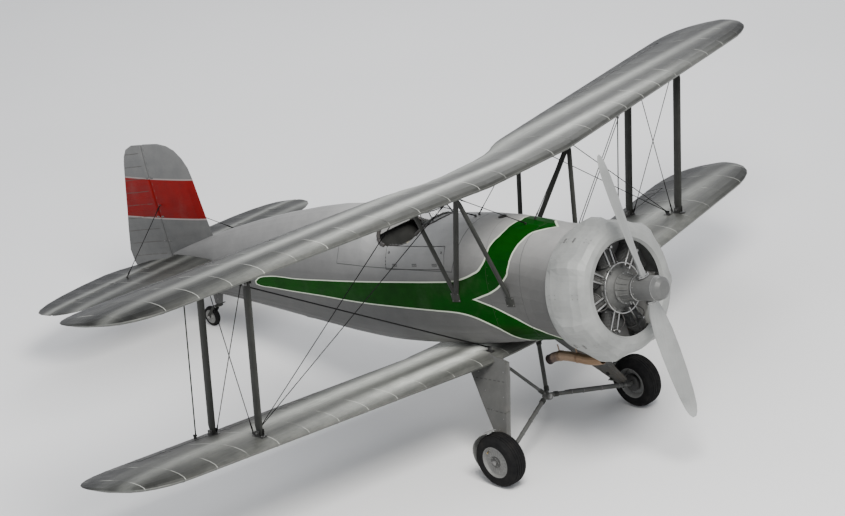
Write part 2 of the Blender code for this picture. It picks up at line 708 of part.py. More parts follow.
# fin and rudder: height, leading edge / trailing edge
FIN_LE = [(0.200, 3.800), (0.300, 3.830), (0.400, 3.858), (0.600, 3.884), (0.900, 3.912), (1.000, 3.930), (1.080, 3.975),
          (1.150, 4.045), (1.192, 4.130), (1.214, 4.240)]
RUD_TE = [(0.030, 4.800), (0.055, 4.900), (0.110, 4.985), (0.200, 5.032), (0.307, 5.043), (0.480, 4.985), (0.668, 4.914), (0.880, 4.838),
          (1.050, 4.775), (1.120, 4.742), (1.180, 4.690), (1.212, 4.600)]


def fin_half(z):
    f = max(0.0, (z - 0.8) / 0.45)
    return 0.024 * math.sqrt(max(0.15, 1 - f ** 2))


rings = []
for z, le in FIN_LE:
    h = fin_half(z)
    prof = lens(le, RUD_HINGE_Y - 0.024 - 0.0065, h)
    prof[0] = (prof[0][0], 0.0012)
    rings.append([(t, u, z) for u, t in prof] + [(-t, u, z) for u, t in reversed(prof)])
fin = loft("fin", rings)
cut(fin, hull("body", -CUT))
cut(fin, grown(tailplane, CUT))
cut(fin, rod("hole", (-0.2, EL_HINGE_Y, TAIL_Z), (0.2, EL_HINGE_Y, TAIL_Z), 0.019, 16))

rings = []
for z, te in RUD_TE:
    h = fin_half(z) * 0.97
    pts = []
    for k in range(7):
        t = math.pi / 2 + math.pi * k / 6
        pts.append((h * math.sin(t), RUD_HINGE_Y + h * math.cos(t), z))
    tp = taper(RUD_HINGE_Y, te, h)
    low = [(-t, u, z) for u, t in tp[1:]]
    high = [(t, u, z) for u, t in reversed(tp[1:])]
    rings.append(pts + low + high)
rudder = loft("rudder", rings)

# ----------------------------------------------------------------- cowling, engine, propeller
bumps = [math.pi / 2 + 2 * math.pi * k / CYL_COUNT for k in range(CYL_COUNT)]
N_COWL = 70
prof_o = [(COWL_REAR, 0.452), (-0.350, 0.468), (-0.440, 0.474), (-0.540, 0.472), (-0.605, 0.456), (-0.640, 0.426),
          (-0.655, 0.390), (-0.650, 0.353), (-0.628, 0.336)]
prof_i = [(-0.612, 0.350), (-0.608, 0.392), (-0.580, 0.430), (-0.520, 0.453), (COWL_REAR, 0.440)]
rings = []
for k in range(N_COWL):
    t = 2 * math.pi * k / N_COWL
    lift = 0.0
    for b in bumps:
        d = abs((t - b + math.pi) % (2 * math.pi) - math.pi)
        if d < 0.20:
            lift = 0.5 * (1 + math.cos(math.pi * d / 0.20))
    ring = []
    for i, (y, r) in enumerate(prof_o + prof_i):
        f = max(0.0, 1 - ((y + 0.485) / 0.175) ** 2)
        rr = r + (0.050 * lift * f if r > 0.40 else 0.0)
        ring.append((rr * math.cos(t), y, rr * math.sin(t)))
    rings.append(ring)
cowl = loft("engine_cowling", rings, closed=True)

engine = revolve("engine", [(-0.277, 0.0), (-0.277, 0.200), (-0.330, 0.200), (-0.345, 0.150), (-0.400, 0.150), (-0.415, 0.165),
                            (-0.530, 0.165), (-0.560, 0.140), (-0.600, 0.112), (-0.640, 0.085), (-0.715, 0.080), (-0.715, 0.0)],
                 (0, 0, 0), "Y", 24, closed=False)
for b in bumps:
    c, s = math.cos(b), math.sin(b)
    barrel = rod("barrel", (0.13 * c, CYL_Y, 0.13 * s), (0.355 * c, CYL_Y, 0.355 * s), 0.062, 12)
    head = rod("head", (0.340 * c, CYL_Y, 0.340 * s), (0.425 * c, CYL_Y, 0.425 * s), 0.070, 12, 0.056)
    join(engine, barrel)
    join(engine, head)
cut(engine, grown(fuselage, CUT))

prop = revolve("propeller", [(-0.725, 0.0), (-0.725, 0.080), (-0.745, HUB_R), (-0.930, HUB_R), (-0.965, 0.078), (-0.985, 0.052),
                             (-0.995, 0.0)], (0, 0, 0), "Y", 28, closed=False)
# radius, chord, thickness, blade angle
BLADE = [(0.040, 0.070, 0.060, 60), (0.110, 0.080, 0.052, 50), (0.200, 0.112, 0.036, 38), (0.340, 0.138, 0.026, 30),
         (0.500, 0.146, 0.020, 24), (0.680, 0.142, 0.015, 19), (0.840, 0.124, 0.011, 16), (0.940, 0.098, 0.009, 15),
         (0.990, 0.066, 0.007, 14), (1.015152, 0.030, 0.005, 14)]
for up in (1, -1):
    rings = []
    for r, ch, th, ang in BLADE:
        a = math.radians(ang)
        ring = []
        for k in range(12):
            t = 2 * math.pi * k / 12
            u, w = 0.5 * ch * math.cos(t), 0.5 * th * math.sin(t)
            # chord mostly across the disc, turned by the blade angle
            x = u * math.cos(a) - w * math.sin(a)
            y = u * math.sin(a) + w * math.cos(a)
            ring.append(Vector((x * up, PROP_Y + y, r * up)))
        rings.append(ring)
    join(prop, loft("blade", rings))
prop.data.transform(Matrix.Rotation(-PROP_TILT, 4, "Y"))

# exhaust: tail pipe from the collector behind the lower cylinders
EX = [(-0.150, -0.365, -0.478), (-0.160, -0.300, -0.484), (-0.168, -0.230, -0.478), (-0.172, -0.150, -0.462), (-0.174, -0.060, -0.452),
      (-0.175, 0.020, -0.450), (-0.176, 0.090, -0.463), (-0.177, 0.138, -0.482)]
exhaust = pipe_path("exhaust_pipe", EX, 0.036, 14, 0.032)
cut(exhaust, grown(cowl, CUT))
cut(exhaust, hull("body", -CUT))

# ----------------------------------------------------------------- main gear
def fairing(name, sd, outline, x0, z0, slope, half):
    """Flat leg fairing in the plane x = x0 + slope (z - z0), edges rounded."""
    nrm = Vector((1, 0, -slope)).normalized()
    n = len(outline)
    cy = sum(p[0] for p in outline) / n
    cz = sum(p[1] for p in outline) / n
    rings = []
    for off, sc in ((-half, -0.010), (-half * 0.55, 0.0), (half * 0.55, 0.0), (half, -0.010)):
        ring = []
        for i, (y, z) in enumerate(outline):
            a, b = outline[i - 1], outline[(i + 1) % n]
            e = Vector((b[0] - a[0], b[1] - a[1])).normalized()
            ny, nz = e.y, -e.x
            p = Vector((x0 + slope * (z - z0), y, z)) + nrm * off
            p += Vector((slope * nz, ny, nz)) * sc
            p.x *= sd * -1
            ring.append(p)
        rings.append(ring)
    return loft(name, rings)


LEG = [(0.380, -0.440), (0.366, -0.520), (0.342, -0.740), (0.326, -0.880), (0.300, -0.985), (0.330, -1.000), (0.378, -0.950),
       (0.446, -0.862), (0.580, -0.690), (0.715, -0.505), (0.720, -0.430), (0.545, -0.395)]
gear = []
for nm, sd in SIDES:
    leg = fairing("gear_leg_" + nm, sd, LEG[::-1], -0.300, -0.300, 0.478, 0.021)
    cut(leg, grown(lower_mid, CUT))
    cut(leg, grown(panels["lower", nm], CUT))
    cut(leg, hull("body", -CUT))
    hub = Vector((sd * (WHEEL_X - TYRE_W / 2 - 0.012), WHEEL_Y, WHEEL_Z))
    inner = Vector((sd * 0.030, APEX[1], APEX[2]))
    s0 = Vector((sd * (WHEEL_X - TYRE_W / 2 - 0.020), WHEEL_Y, WHEEL_Z))
    s1 = Vector((sd * (WHEEL_X + 0.057), WHEEL_Y, WHEEL_Z))
    ax = rod("half_axle_" + nm, inner, hub, AXLE_R, 12)
    join(ax, rod("stub", s0, s1, 0.0180, 20))
    cut(leg, rod("clear", inner, hub, AXLE_R + CUT, 12))
    cut(leg, rod("clear", s0 - Vector((sd * CUT, 0, 0)), s1, 0.0180 + CUT, 20))
    gear += [leg, ax]
vee = rod("gear_vee", (0, APEX[1] - 0.030, APEX[2]), (0, APEX[1] + 0.030, APEX[2]), 0.027, 14)
for nm, sd in SIDES:
    top = (sd * VEE_TOP[0], VEE_TOP[1], VEE_TOP[2])
    join(vee, streamline("leg", APEX, top, 0.040, 0.022, 12, 0.8))
cut(vee, grown(lower_mid, CUT))
cut(vee, hull("body", -CUT))
for g in gear:
    if g.name.startswith("half_axle"):
        cut(g, grown(vee, 0.0006))

N_TYRE = 32
STANCE = math.atan2((TW_Z - TW_R) - (WHEEL_Z - TYRE_R), TW_Y - WHEEL_Y)
for _ in range(20):
    # tangent line under both flats
    rm = TYRE_R * math.cos(math.pi / N_TYRE)
    rt = TW_R * math.cos(math.pi / 24)
    d = math.hypot(TW_Y - WHEEL_Y, TW_Z - WHEEL_Z)
    STANCE = math.atan2(TW_Z - WHEEL_Z, TW_Y - WHEEL_Y) + math.asin((rm - rt) / d)
DOWN = -math.pi / 2 + STANCE      # direction of the ground in the level airframe (Y, Z)

T_PROF = [(-0.062, RIM_R), (-0.075, 0.142), (-0.071, 0.168), (-0.054, 0.187), (-0.026, TYRE_R), (0.026, TYRE_R), (0.054, 0.187),
          (0.071, 0.168), (0.075, 0.142), (0.062, RIM_R)]
R_PROF = [(-0.060, 0.0195), (-0.060, 0.036), (-0.032, 0.052), (-0.030, 0.094), (-0.0615, RIM_R - GAP * 2),
          (0.0615, RIM_R - GAP * 2), (0.034, 0.094), (0.044, 0.050), (0.062, 0.034), (0.062, 0.0195)]
wheels = []
for nm, sd in SIDES:
    c = (sd * WHEEL_X, WHEEL_Y, WHEEL_Z)
    tp = [(sd * a, r) for a, r in T_PROF]
    rp = [(sd * a, r) for a, r in R_PROF]
    wheels.append(revolve("tyre_" + nm, tp, c, "X", N_TYRE, DOWN + math.pi / N_TYRE))
    wheels.append(revolve("wheel_" + nm, rp, c, "X", N_TYRE, DOWN + math.pi / N_TYRE))

# ----------------------------------------------------------------- tail wheel
PIV = Vector((0, TW_PIVOT_Y, -0.150))
post = loft("tail_wheel_post", [
    [(x * w, 4.010 + y * l, z) for x, y in ((-1, 0), (-0.8, -0.7), (0, -1), (0.8, -0.7), (1, 0), (0.7, 0.7), (0, 1), (-0.7, 0.7))]
    for z, w, l in ((-0.020, 0.030, 0.085), (-0.070, 0.028, 0.070), (-0.120, 0.025, 0.052), (-0.162, 0.022, 0.044))])
for r in post.data.vertices:
    f = (-0.020 - r.co.z) / 0.142
    r.co.y += 0.040 * f
cut(post, hull("body", -CUT))
fork = rod("tail_wheel_fork", (0, TW_PIVOT_Y, -0.1655), (0, TW_PIVOT_Y, -0.188), 0.024, 16)
for sd in (-1, 1):
    arm = loft("arm", [
        [(sd * x, TW_PIVOT_Y - 0.020, z) for x, z in ((0.0, -0.168), (0.020, -0.168), (0.020, -0.186), (0.0, -0.186))],
        [(sd * x, TW_PIVOT_Y + 0.018, z) for x, z in ((0.010, -0.168), (0.037, -0.168), (0.037, -0.190), (0.010, -0.190))],
        [(sd * x, TW_PIVOT_Y + 0.050, z) for x, z in ((0.0300, -0.176), (0.037, -0.176), (0.037, -0.202), (0.0300, -0.202))],
        [(sd * x, TW_Y + 0.016, z) for x, z in ((0.0300, -0.262), (0.037, -0.262), (0.037, -0.294), (0.0300, -0.294))]])
    join(fork, arm)
join(fork, rod("pin", (-0.036, TW_Y, TW_Z), (0.036, TW_Y, TW_Z), 0.0075, 12))
tw = revolve("tail_wheel", [(-0.0235, 0.0088), (-0.0235, 0.030), (-0.016, 0.040), (-0.020, 0.052), (-TW_W / 2, 0.062), (-0.020, 0.078), (-0.009, TW_R),
                            (0.009, TW_R), (0.020, 0.078), (TW_W / 2, 0.062), (0.020, 0.052), (0.016, 0.040), (0.0235, 0.030), (0.0235, 0.0088)],
             (TW_X, TW_Y, TW_Z), "X", 24, DOWN + math.pi / 24)

# ----------------------------------------------------------------- cockpit fittings
seat = box("seat", (-0.205, 1.300, -0.120), (0.205, 1.620, 0.320))
cut(seat, box("well", (-0.185, 1.200, -0.100), (0.185, 1.598, 0.400)))
for sd in (-1, 1):
    cut(seat, loft("slope", [[(x, 1.29, 0.02), (x, 1.56, 0.13), (x, 1.56, 0.40), (x, 1.29, 0.40)] for x in (sd * 0.18, sd * 0.21)]))
for sd in (-1, 1):
    join(seat, box("foot", (sd * 0.16 - 0.012, 1.34, FLOOR + GAP), (sd * 0.16 + 0.012, 1.56, -0.110)))
stick = rod("control_stick", (0, 1.160, FLOOR + GAP), (0, 1.160, FLOOR + 0.016), 0.030, 16)
join(stick, rod("tube", (0, 1.160, FLOOR + 0.008), (0, 1.180, 0.160), 0.011, 12))
join(stick, rod("grip", (0, 1.178, 0.130), (0, 1.186, 0.235), 0.016, 12))
pan = [(x, z) for x, _, z in hull_ring(hull_at(0.980), WALL + 0.0016)]
board = prism("instrument_panel", pan, "Y", 0.975, 0.990)
cut(board, box("low", (-1, 0.9, -1), (1, 1.1, 0.140)))
for sd in (-1, 1):
    x0, x1 = sorted((sd * 0.330, sd * 0.5))
    # clear of the side flaps
cut(board, box("l", (-0.6, 0.9, 0.1), (-0.300, 1.1, DOOR_Z1 + 0.012)))
cut(board, box("r", (0.300, 0.9, 0.1), (0.6, 1.1, DOOR_Z1 + 0.012)))
screen_o = [(-0.158, 1.092), (-0.112, 1.022), (-0.038, 0.985), (0.038, 0.985), (0.112, 1.022), (0.158, 1.092)]
rings = []
for z, s, dy in ((0.440, 1.0, 0.0), (0.520, 0.97, 0.012), (0.575, 0.91, 0.028), (0.615, 0.83, 0.046)):
    outer = [(x * s, (y - 1.092) * s + 1.092 + dy, z) for x, y in screen_o]
    inner = [(x * s * 0.970, (y - 1.092) * s * 0.950 + 1.092 + dy, z) for x, y in screen_o]
    rings.append(outer + inner[::-1])
screen = loft("windscreen", rings)
cut(screen, hull("body", -CUT))

# ----------------------------------------------------------------- aileron link rods
def surf(tag, x, f):
    y0, z0, ch, sw, di = UP if tag == "upper" else LO
    y, z = wing_line(x, y0, z0, sw, di)
    u, l = foil_at(f)
    return y + f * ch, z + u * ch, z + l * ch


rods = []
for nm, sd in SIDES:
    hl = hinge_point(ROD_X, *LO)
    hu = hinge_point(ROD_X, *UP)
    fl = HINGE_F + ROD_ARM / LO_CHORD
    fu = HINGE_FU + ROD_ARM / UP_CHORD
    yl, zl, _ = surf("lower", ROD_X, fl)
    yu, _, zu = surf("upper", ROD_X, fu)
    pl = Vector((sd * ROD_X, yl, zl + 0.022))
    pu = Vector((sd * ROD_X, yu, zu - 0.022))
    # lugs on the ailerons
    for ail, p, base in ((ailerons["lower", nm], pl, zl - 0.006), (ailerons["upper", nm], pu, zu + 0.006)):
        up = 1 if p.z > base else -1
        lug = box("lug", (p.x - 0.003, p.y - 0.014, min(base, p.z - up * -0.009)), (p.x + 0.003, p.y + 0.014, max(base, p.z + up * 0.009)))
        join(ail, lug)
    join(ailerons["lower", nm], rod("pin", (pl.x, pl.y, pl.z), (pl.x + 0.016, pl.y, pl.z), 0.0040, 10))
    r = rod("aileron_link_" + nm, (pl.x + 0.0095, pl.y, pl.z), (pu.x + 0.0095, pu.y, pu.z - 0.004), 0.0048, 10)
    join(r, rod("eye", (pl.x + 0.0045, pl.y, pl.z), (pl.x + 0.0145, pl.y, pl.z), 0.0100, 14))
    cut(r, rod("hole", (pl.x - 0.01, pl.y, pl.z), (pl.x + 0.03, pl.y, pl.z), 0.0050, 14))
    rods.append((r, pl))

# ----------------------------------------------------------------- colours and origins
finish(fuselage, "hull", smooth=40)
for nm, sd in SIDES:
    d = doors[nm]
    hx = sd * (hull_x(0.5 * (DOOR_Y0 + DOOR_Y1), DOOR_Z0) + 0.006)
    finish(d, "hull", (hx, 0.5 * (DOOR_Y0 + DOOR_Y1), DOOR_Z0))
finish(lower_mid, "silver")
finish(upper_mid, "silver")
for k, w in panels.items():
    finish(w, "silver")
for (tag, nm), a in ailerons.items():
    W = UP if tag == "upper" else LO
    h = hinge_point(0.5 * (AIL_IN + AIL_OUT), *W)
    finish(a, "silver", (h.x * (1 if nm == "left" else -1), h.y, h.z))
for s in struts:
    finish(s, "dark")
for s in cabanes:
    finish(s, "dark")
for w in wires:
    finish(w, "steel")
finish(tailplane, "silver")
finish(elevator, "silver", (0, EL_HINGE_Y, TAIL_Z))
finish(fin, "hull")
finish(rudder, "hull", (0, RUD_HINGE_Y, 0.6))
finish(cowl, "metal")
finish(engine, "engine")
finish(prop, "prop", (0, PROP_Y, 0))
finish(exhaust, "exhaust")
for g in gear:
    finish(g, "fairing" if g.name.startswith("gear_leg") else "dark")
finish(vee, "dark")
for w in wheels:
    sd = 1 if w.name.endswith("left") else -1
    finish(w, "tyre" if w.name.startswith("tyre") else "rim", (sd * WHEEL_X, WHEEL_Y, WHEEL_Z))
finish(post, "hull")
finish(fork, "dark", (0, TW_PIVOT_Y, -0.17))
finish(tw, "tyre", (TW_X, TW_Y, TW_Z))
finish(seat, "dark")
finish(stick, "panel")
finish(board, "panel")
finish(screen, "glass", smooth=20)
for r, p in rods:
    finish(r, "dark", (p.x + 0.0095, p.y, p.z))

# ----------------------------------------------------------------- stand on the wheels
stance = bpy.data.objects.new("stance", None)
bpy.context.collection.objects.link(stance)
for ob in PARTS:
    ob.parent = stance
stance.rotation_euler = (-STANCE, 0, 0)
bpy.context.view_layer.update()
lo = Vector((1e9, 1e9, 1e9))
hi = -lo
for ob in PARTS:
    for v in ob.data.vertices:
        w = ob.matrix_world @ v.co
        lo = Vector(map(min, lo, w))
        hi = Vector(map(max, hi, w))
stance.location = (-0.5 * (lo.x + hi.x), -0.5 * (lo.y + hi.y), -lo.z)
bpy.context.view_layer.update()
print("STANCE deg %.5f location %.6f %.6f %.6f size %.4f %.4f %.4f" % (
    math.degrees(STANCE), *stance.location, *(hi - lo)))
print("DOOR_X %.6f" % (hull_x(0.5 * (DOOR_Y0 + DOOR_Y1), DOOR_Z0) + 0.006))
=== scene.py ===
import math
import random
import bpy
import bmesh
from mathutils import Vector, Matrix
from mathutils.bvhtree import BVHTree


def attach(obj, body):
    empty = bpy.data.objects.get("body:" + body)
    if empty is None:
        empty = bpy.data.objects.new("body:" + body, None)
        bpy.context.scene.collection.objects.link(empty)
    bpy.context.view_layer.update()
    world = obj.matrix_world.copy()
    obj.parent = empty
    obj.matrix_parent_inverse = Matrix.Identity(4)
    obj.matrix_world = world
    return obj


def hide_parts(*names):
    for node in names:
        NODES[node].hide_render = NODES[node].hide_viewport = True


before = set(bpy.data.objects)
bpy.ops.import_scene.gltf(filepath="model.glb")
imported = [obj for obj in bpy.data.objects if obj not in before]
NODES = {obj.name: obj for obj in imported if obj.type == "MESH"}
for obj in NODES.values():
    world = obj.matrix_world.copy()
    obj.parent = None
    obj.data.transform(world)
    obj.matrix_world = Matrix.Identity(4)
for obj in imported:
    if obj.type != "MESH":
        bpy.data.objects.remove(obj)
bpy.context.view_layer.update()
random.seed(7)

# ------------------------------------------------------------------ the level airframe
# The part stands tail down. Everything here is written in the level airframe
# (nose toward -Y, left wing toward +X, Z up from the thrust line) and moved by STAND.
TAIL_DOWN = math.radians(12.35783)
SHIFT = Vector((0.0, -1.984742, 1.252226))
STAND = Matrix.Translation(SHIFT) @ Matrix.Rotation(-TAIL_DOWN, 4, "X")
LEVEL = STAND.inverted()

HALF_SPAN, SWEEP_ROOT = 3.30, 0.40
UP = (0.0, 0.905, 0.907, math.radians(11.3), math.radians(1.34))
LO = (0.485, -0.424, 0.944, math.radians(8.5), math.radians(4.0))
STRUT_X = 2.226
RIBS = [0.49 + 0.245 * k for k in range(11)] + [3.10]


def wing_line(x, W):
    a = max(0.0, abs(x) - SWEEP_ROOT)
    return W[0] + math.tan(W[3]) * a, W[1] + math.tan(W[4]) * a


# ------------------------------------------------------------------ node maths
class X:
    """A number inside a node tree, with arithmetic."""

    def __init__(self, nt, s):
        self.nt, self.s = nt, s

    def m(self, op, *others, clamp=False):
        n = self.nt.nodes.new("ShaderNodeMath")
        n.operation = op
        n.use_clamp = clamp
        for i, v in enumerate((self,) + others):
            if isinstance(v, X):
                self.nt.links.new(v.s, n.inputs[i])
            else:
                n.inputs[i].default_value = v
        return X(self.nt, n.outputs[0])

    def __add__(self, o): return self.m("ADD", o)
    def __radd__(self, o): return self.m("ADD", o)
    def __sub__(self, o): return self.m("SUBTRACT", o)
    def __rsub__(self, o): return (self * -1.0) + o
    def __mul__(self, o): return self.m("MULTIPLY", o)
    def __rmul__(self, o): return self.m("MULTIPLY", o)
    def __truediv__(self, o): return self.m("DIVIDE", o)
    def abs(self): return self.m("ABSOLUTE")
    def min(self, o): return self.m("MINIMUM", o)
    def max(self, o): return self.m("MAXIMUM", o)
    def clamp(self): return self.m("ADD", 0.0, clamp=True)

    def step(self, a, b):
        """0 below a and 1 above b, smoothly between."""
        n = self.nt.nodes.new("ShaderNodeMapRange")
        n.interpolation_type = "SMOOTHSTEP"
        self.nt.links.new(self.s, n.inputs[0])
        lo, hi, inv = (a, b, False) if a < b else (b, a, True)
        n.inputs[1].default_value, n.inputs[2].default_value = lo, hi
        n.inputs[3].default_value, n.inputs[4].default_value = (1.0, 0.0) if inv else (0.0, 1.0)
        return X(self.nt, n.outputs[0])

    def near(self, at, half, soft=0.0015):
        """1 within half of a value, fading over soft."""
        return (self - at).abs().step(half + soft, half)

    def hump(self, at, width):
        """A smooth hump, 1 at a value."""
        d = (self - at) / width
        return (d * d * -1.0).m("EXPONENT")

    def curve(self, pts, smooth=True):
        """A curve through (input, output) points."""
        xs = [p[0] for p in pts]
        ys = [p[1] for p in pts]
        x0, x1, y0, y1 = min(xs), max(xs), min(ys), max(ys)
        y1 = y1 if y1 > y0 else y0 + 1.0
        t = (self - x0) * (1.0 / (x1 - x0))
        n = self.nt.nodes.new("ShaderNodeFloatCurve")
        c = n.mapping.curves[0]
        pts = sorted(pts)
        for i, (a, b) in enumerate(pts):
            loc = ((a - x0) / (x1 - x0), (b - y0) / (y1 - y0))
            if i == 0:
                c.points[0].location = loc
            elif i == len(pts) - 1:
                c.points[-1].location = loc
            else:
                c.points.new(*loc)
        for p in c.points:
            p.handle_type = "AUTO_CLAMPED" if smooth else "VECTOR"
        n.mapping.update()
        self.nt.links.new(t.s, n.inputs["Value"])
        return X(self.nt, n.outputs[0]) * (y1 - y0) + y0


class Mat:
    """A Principled material whose patterns are read from the level airframe."""

    def __init__(self, name, rough=0.5, metal=0.0, spec=0.5, coat=0.0, coat_rough=0.1, turn=None):
        self.m = bpy.data.materials.new(name)
        self.m.use_nodes = True
        nt = self.nt = self.m.node_tree
        self.b = nt.nodes["Principled BSDF"]
        self.b.inputs["Roughness"].default_value = rough
        self.b.inputs["Metallic"].default_value = metal
        self.b.inputs["Specular IOR Level"].default_value = spec
        self.b.inputs["Coat Weight"].default_value = coat
        self.b.inputs["Coat Roughness"].default_value = coat_rough
        tc = nt.nodes.new("ShaderNodeTexCoord")
        mp = nt.nodes.new("ShaderNodeMapping")
        nt.links.new(tc.outputs["Object"], mp.inputs["Vector"])
        back = Matrix.Rotation(TAIL_DOWN, 4, "X")
        mp.inputs["Rotation"].default_value = (TAIL_DOWN, 0, 0)
        mp.inputs["Location"].default_value = -(back @ SHIFT)
        out = mp.outputs[0]
        if turn is not None:
            m2 = nt.nodes.new("ShaderNodeMapping")
            nt.links.new(out, m2.inputs["Vector"])
            m2.inputs["Rotation"].default_value = turn
            out = m2.outputs[0]
        self.pos = out
        sp = nt.nodes.new("ShaderNodeSeparateXYZ")
        nt.links.new(out, sp.inputs[0])
        self.x, self.y, self.z = (X(nt, sp.outputs[i]) for i in range(3))
        self.height = None

    def at(self, x, y, z):
        c = self.nt.nodes.new("ShaderNodeCombineXYZ")
        for i, v in enumerate((x, y, z)):
            if isinstance(v, X):
                self.nt.links.new(v.s, c.inputs[i])
            else:
                c.inputs[i].default_value = v
        return c.outputs[0]

    def noise(self, scale, detail=3.0, rough=0.55, vec=None, stretch=None, seed=0.0):
        n = self.nt.nodes.new("ShaderNodeTexNoise")
        n.inputs["Scale"].default_value = scale
        n.inputs["Detail"].default_value = detail
        n.inputs["Roughness"].default_value = rough
        v = vec or self.pos
        if stretch or seed:
            mp = self.nt.nodes.new("ShaderNodeMapping")
            self.nt.links.new(v, mp.inputs["Vector"])
            mp.inputs["Scale"].default_value = stretch or (1, 1, 1)
            mp.inputs["Location"].default_value = (seed, seed * 0.7, seed * 1.3)
            v = mp.outputs[0]
        self.nt.links.new(v, n.inputs["Vector"])
        return X(self.nt, n.outputs[0])

    def cells(self, scale, vec=None, feature="F1"):
        n = self.nt.nodes.new("ShaderNodeTexVoronoi")
        n.feature = feature
        n.inputs["Scale"].default_value = scale
        self.nt.links.new(vec or self.pos, n.inputs["Vector"])
        return X(self.nt, n.outputs[0])

    def wave(self, value, period):
        """-1 to 1 along a value."""
        return (value * (2 * math.pi / period)).m("SINE")

    def ramp(self, t, stops):
        n = self.nt.nodes.new("ShaderNodeValToRGB")
        n.color_ramp.interpolation = "EASE"
        e = n.color_ramp.elements
        while len(e) > 1:
            e.remove(e[-1])
        for i, (p, c) in enumerate(stops):
            el = e[0] if i == 0 else e.new(p)
            el.position = p
            el.color = (*c, 1.0) if len(c) == 3 else c
        self.nt.links.new(t.s, n.inputs[0])
        return n.outputs[0]

    def mix(self, f, a, b, mode="MIX"):
        n = self.nt.nodes.new("ShaderNodeMix")
        n.data_type = "RGBA"
        n.blend_type = mode
        n.clamp_factor = True
        for i, v in ((0, f), (6, a), (7, b)):
            if isinstance(v, X):
                self.nt.links.new(v.s, n.inputs[i])
            elif isinstance(v, (int, float)):
                n.inputs[i].default_value = v if i == 0 else (v, v, v, 1.0)
            elif isinstance(v, tuple):
                n.inputs[i].default_value = (*v, 1.0) if len(v) == 3 else v
            else:
                self.nt.links.new(v, n.inputs[i])
        return n.outputs[2]

    def tint(self, col, value):
        """col times a number around 1."""
        n = self.nt.nodes.new("ShaderNodeVectorMath")
        n.operation = "SCALE"
        self.nt.links.new(col, n.inputs[0])
        self.nt.links.new(value.s, n.inputs[3])
        return n.outputs[0]

    def grey(self, v):
        return self.mix(0.0, v, v) if isinstance(v, tuple) else self.at(v, v, v)

    def color(self, c):
        if isinstance(c, tuple):
            self.b.inputs["Base Color"].default_value = (*c, 1.0)
        else:
            self.nt.links.new(c, self.b.inputs["Base Color"])
        return self

    def rough(self, r):
        if isinstance(r, X):
            self.nt.links.new(r.s, self.b.inputs["Roughness"])
        else:
            self.b.inputs["Roughness"].default_value = r
        return self

    def metal(self, r):
        self.nt.links.new(r.s, self.b.inputs["Metallic"])
        return self

    def bump(self, h, dist=1.0, strength=1.0):
        """h is a height in metres."""
        n = self.nt.nodes.new("ShaderNodeBump")
        n.inputs["Strength"].default_value = strength
        n.inputs["Distance"].default_value = dist
        self.nt.links.new(h.s, n.inputs["Height"])
        if self.height is not None:
            self.nt.links.new(self.height, n.inputs["Normal"])
        self.height = n.outputs[0]
        self.nt.links.new(n.outputs[0], self.b.inputs["Normal"])
        return self


# ------------------------------------------------------------------ mesh building
def frame_of(d):
    d = Vector(d).normalized()
    up = Vector((0, 0, 1)) if abs(d.z) < 0.95 else Vector((0, 1, 0))
    u = d.cross(up).normalized()
    return u, u.cross(d).normalized()


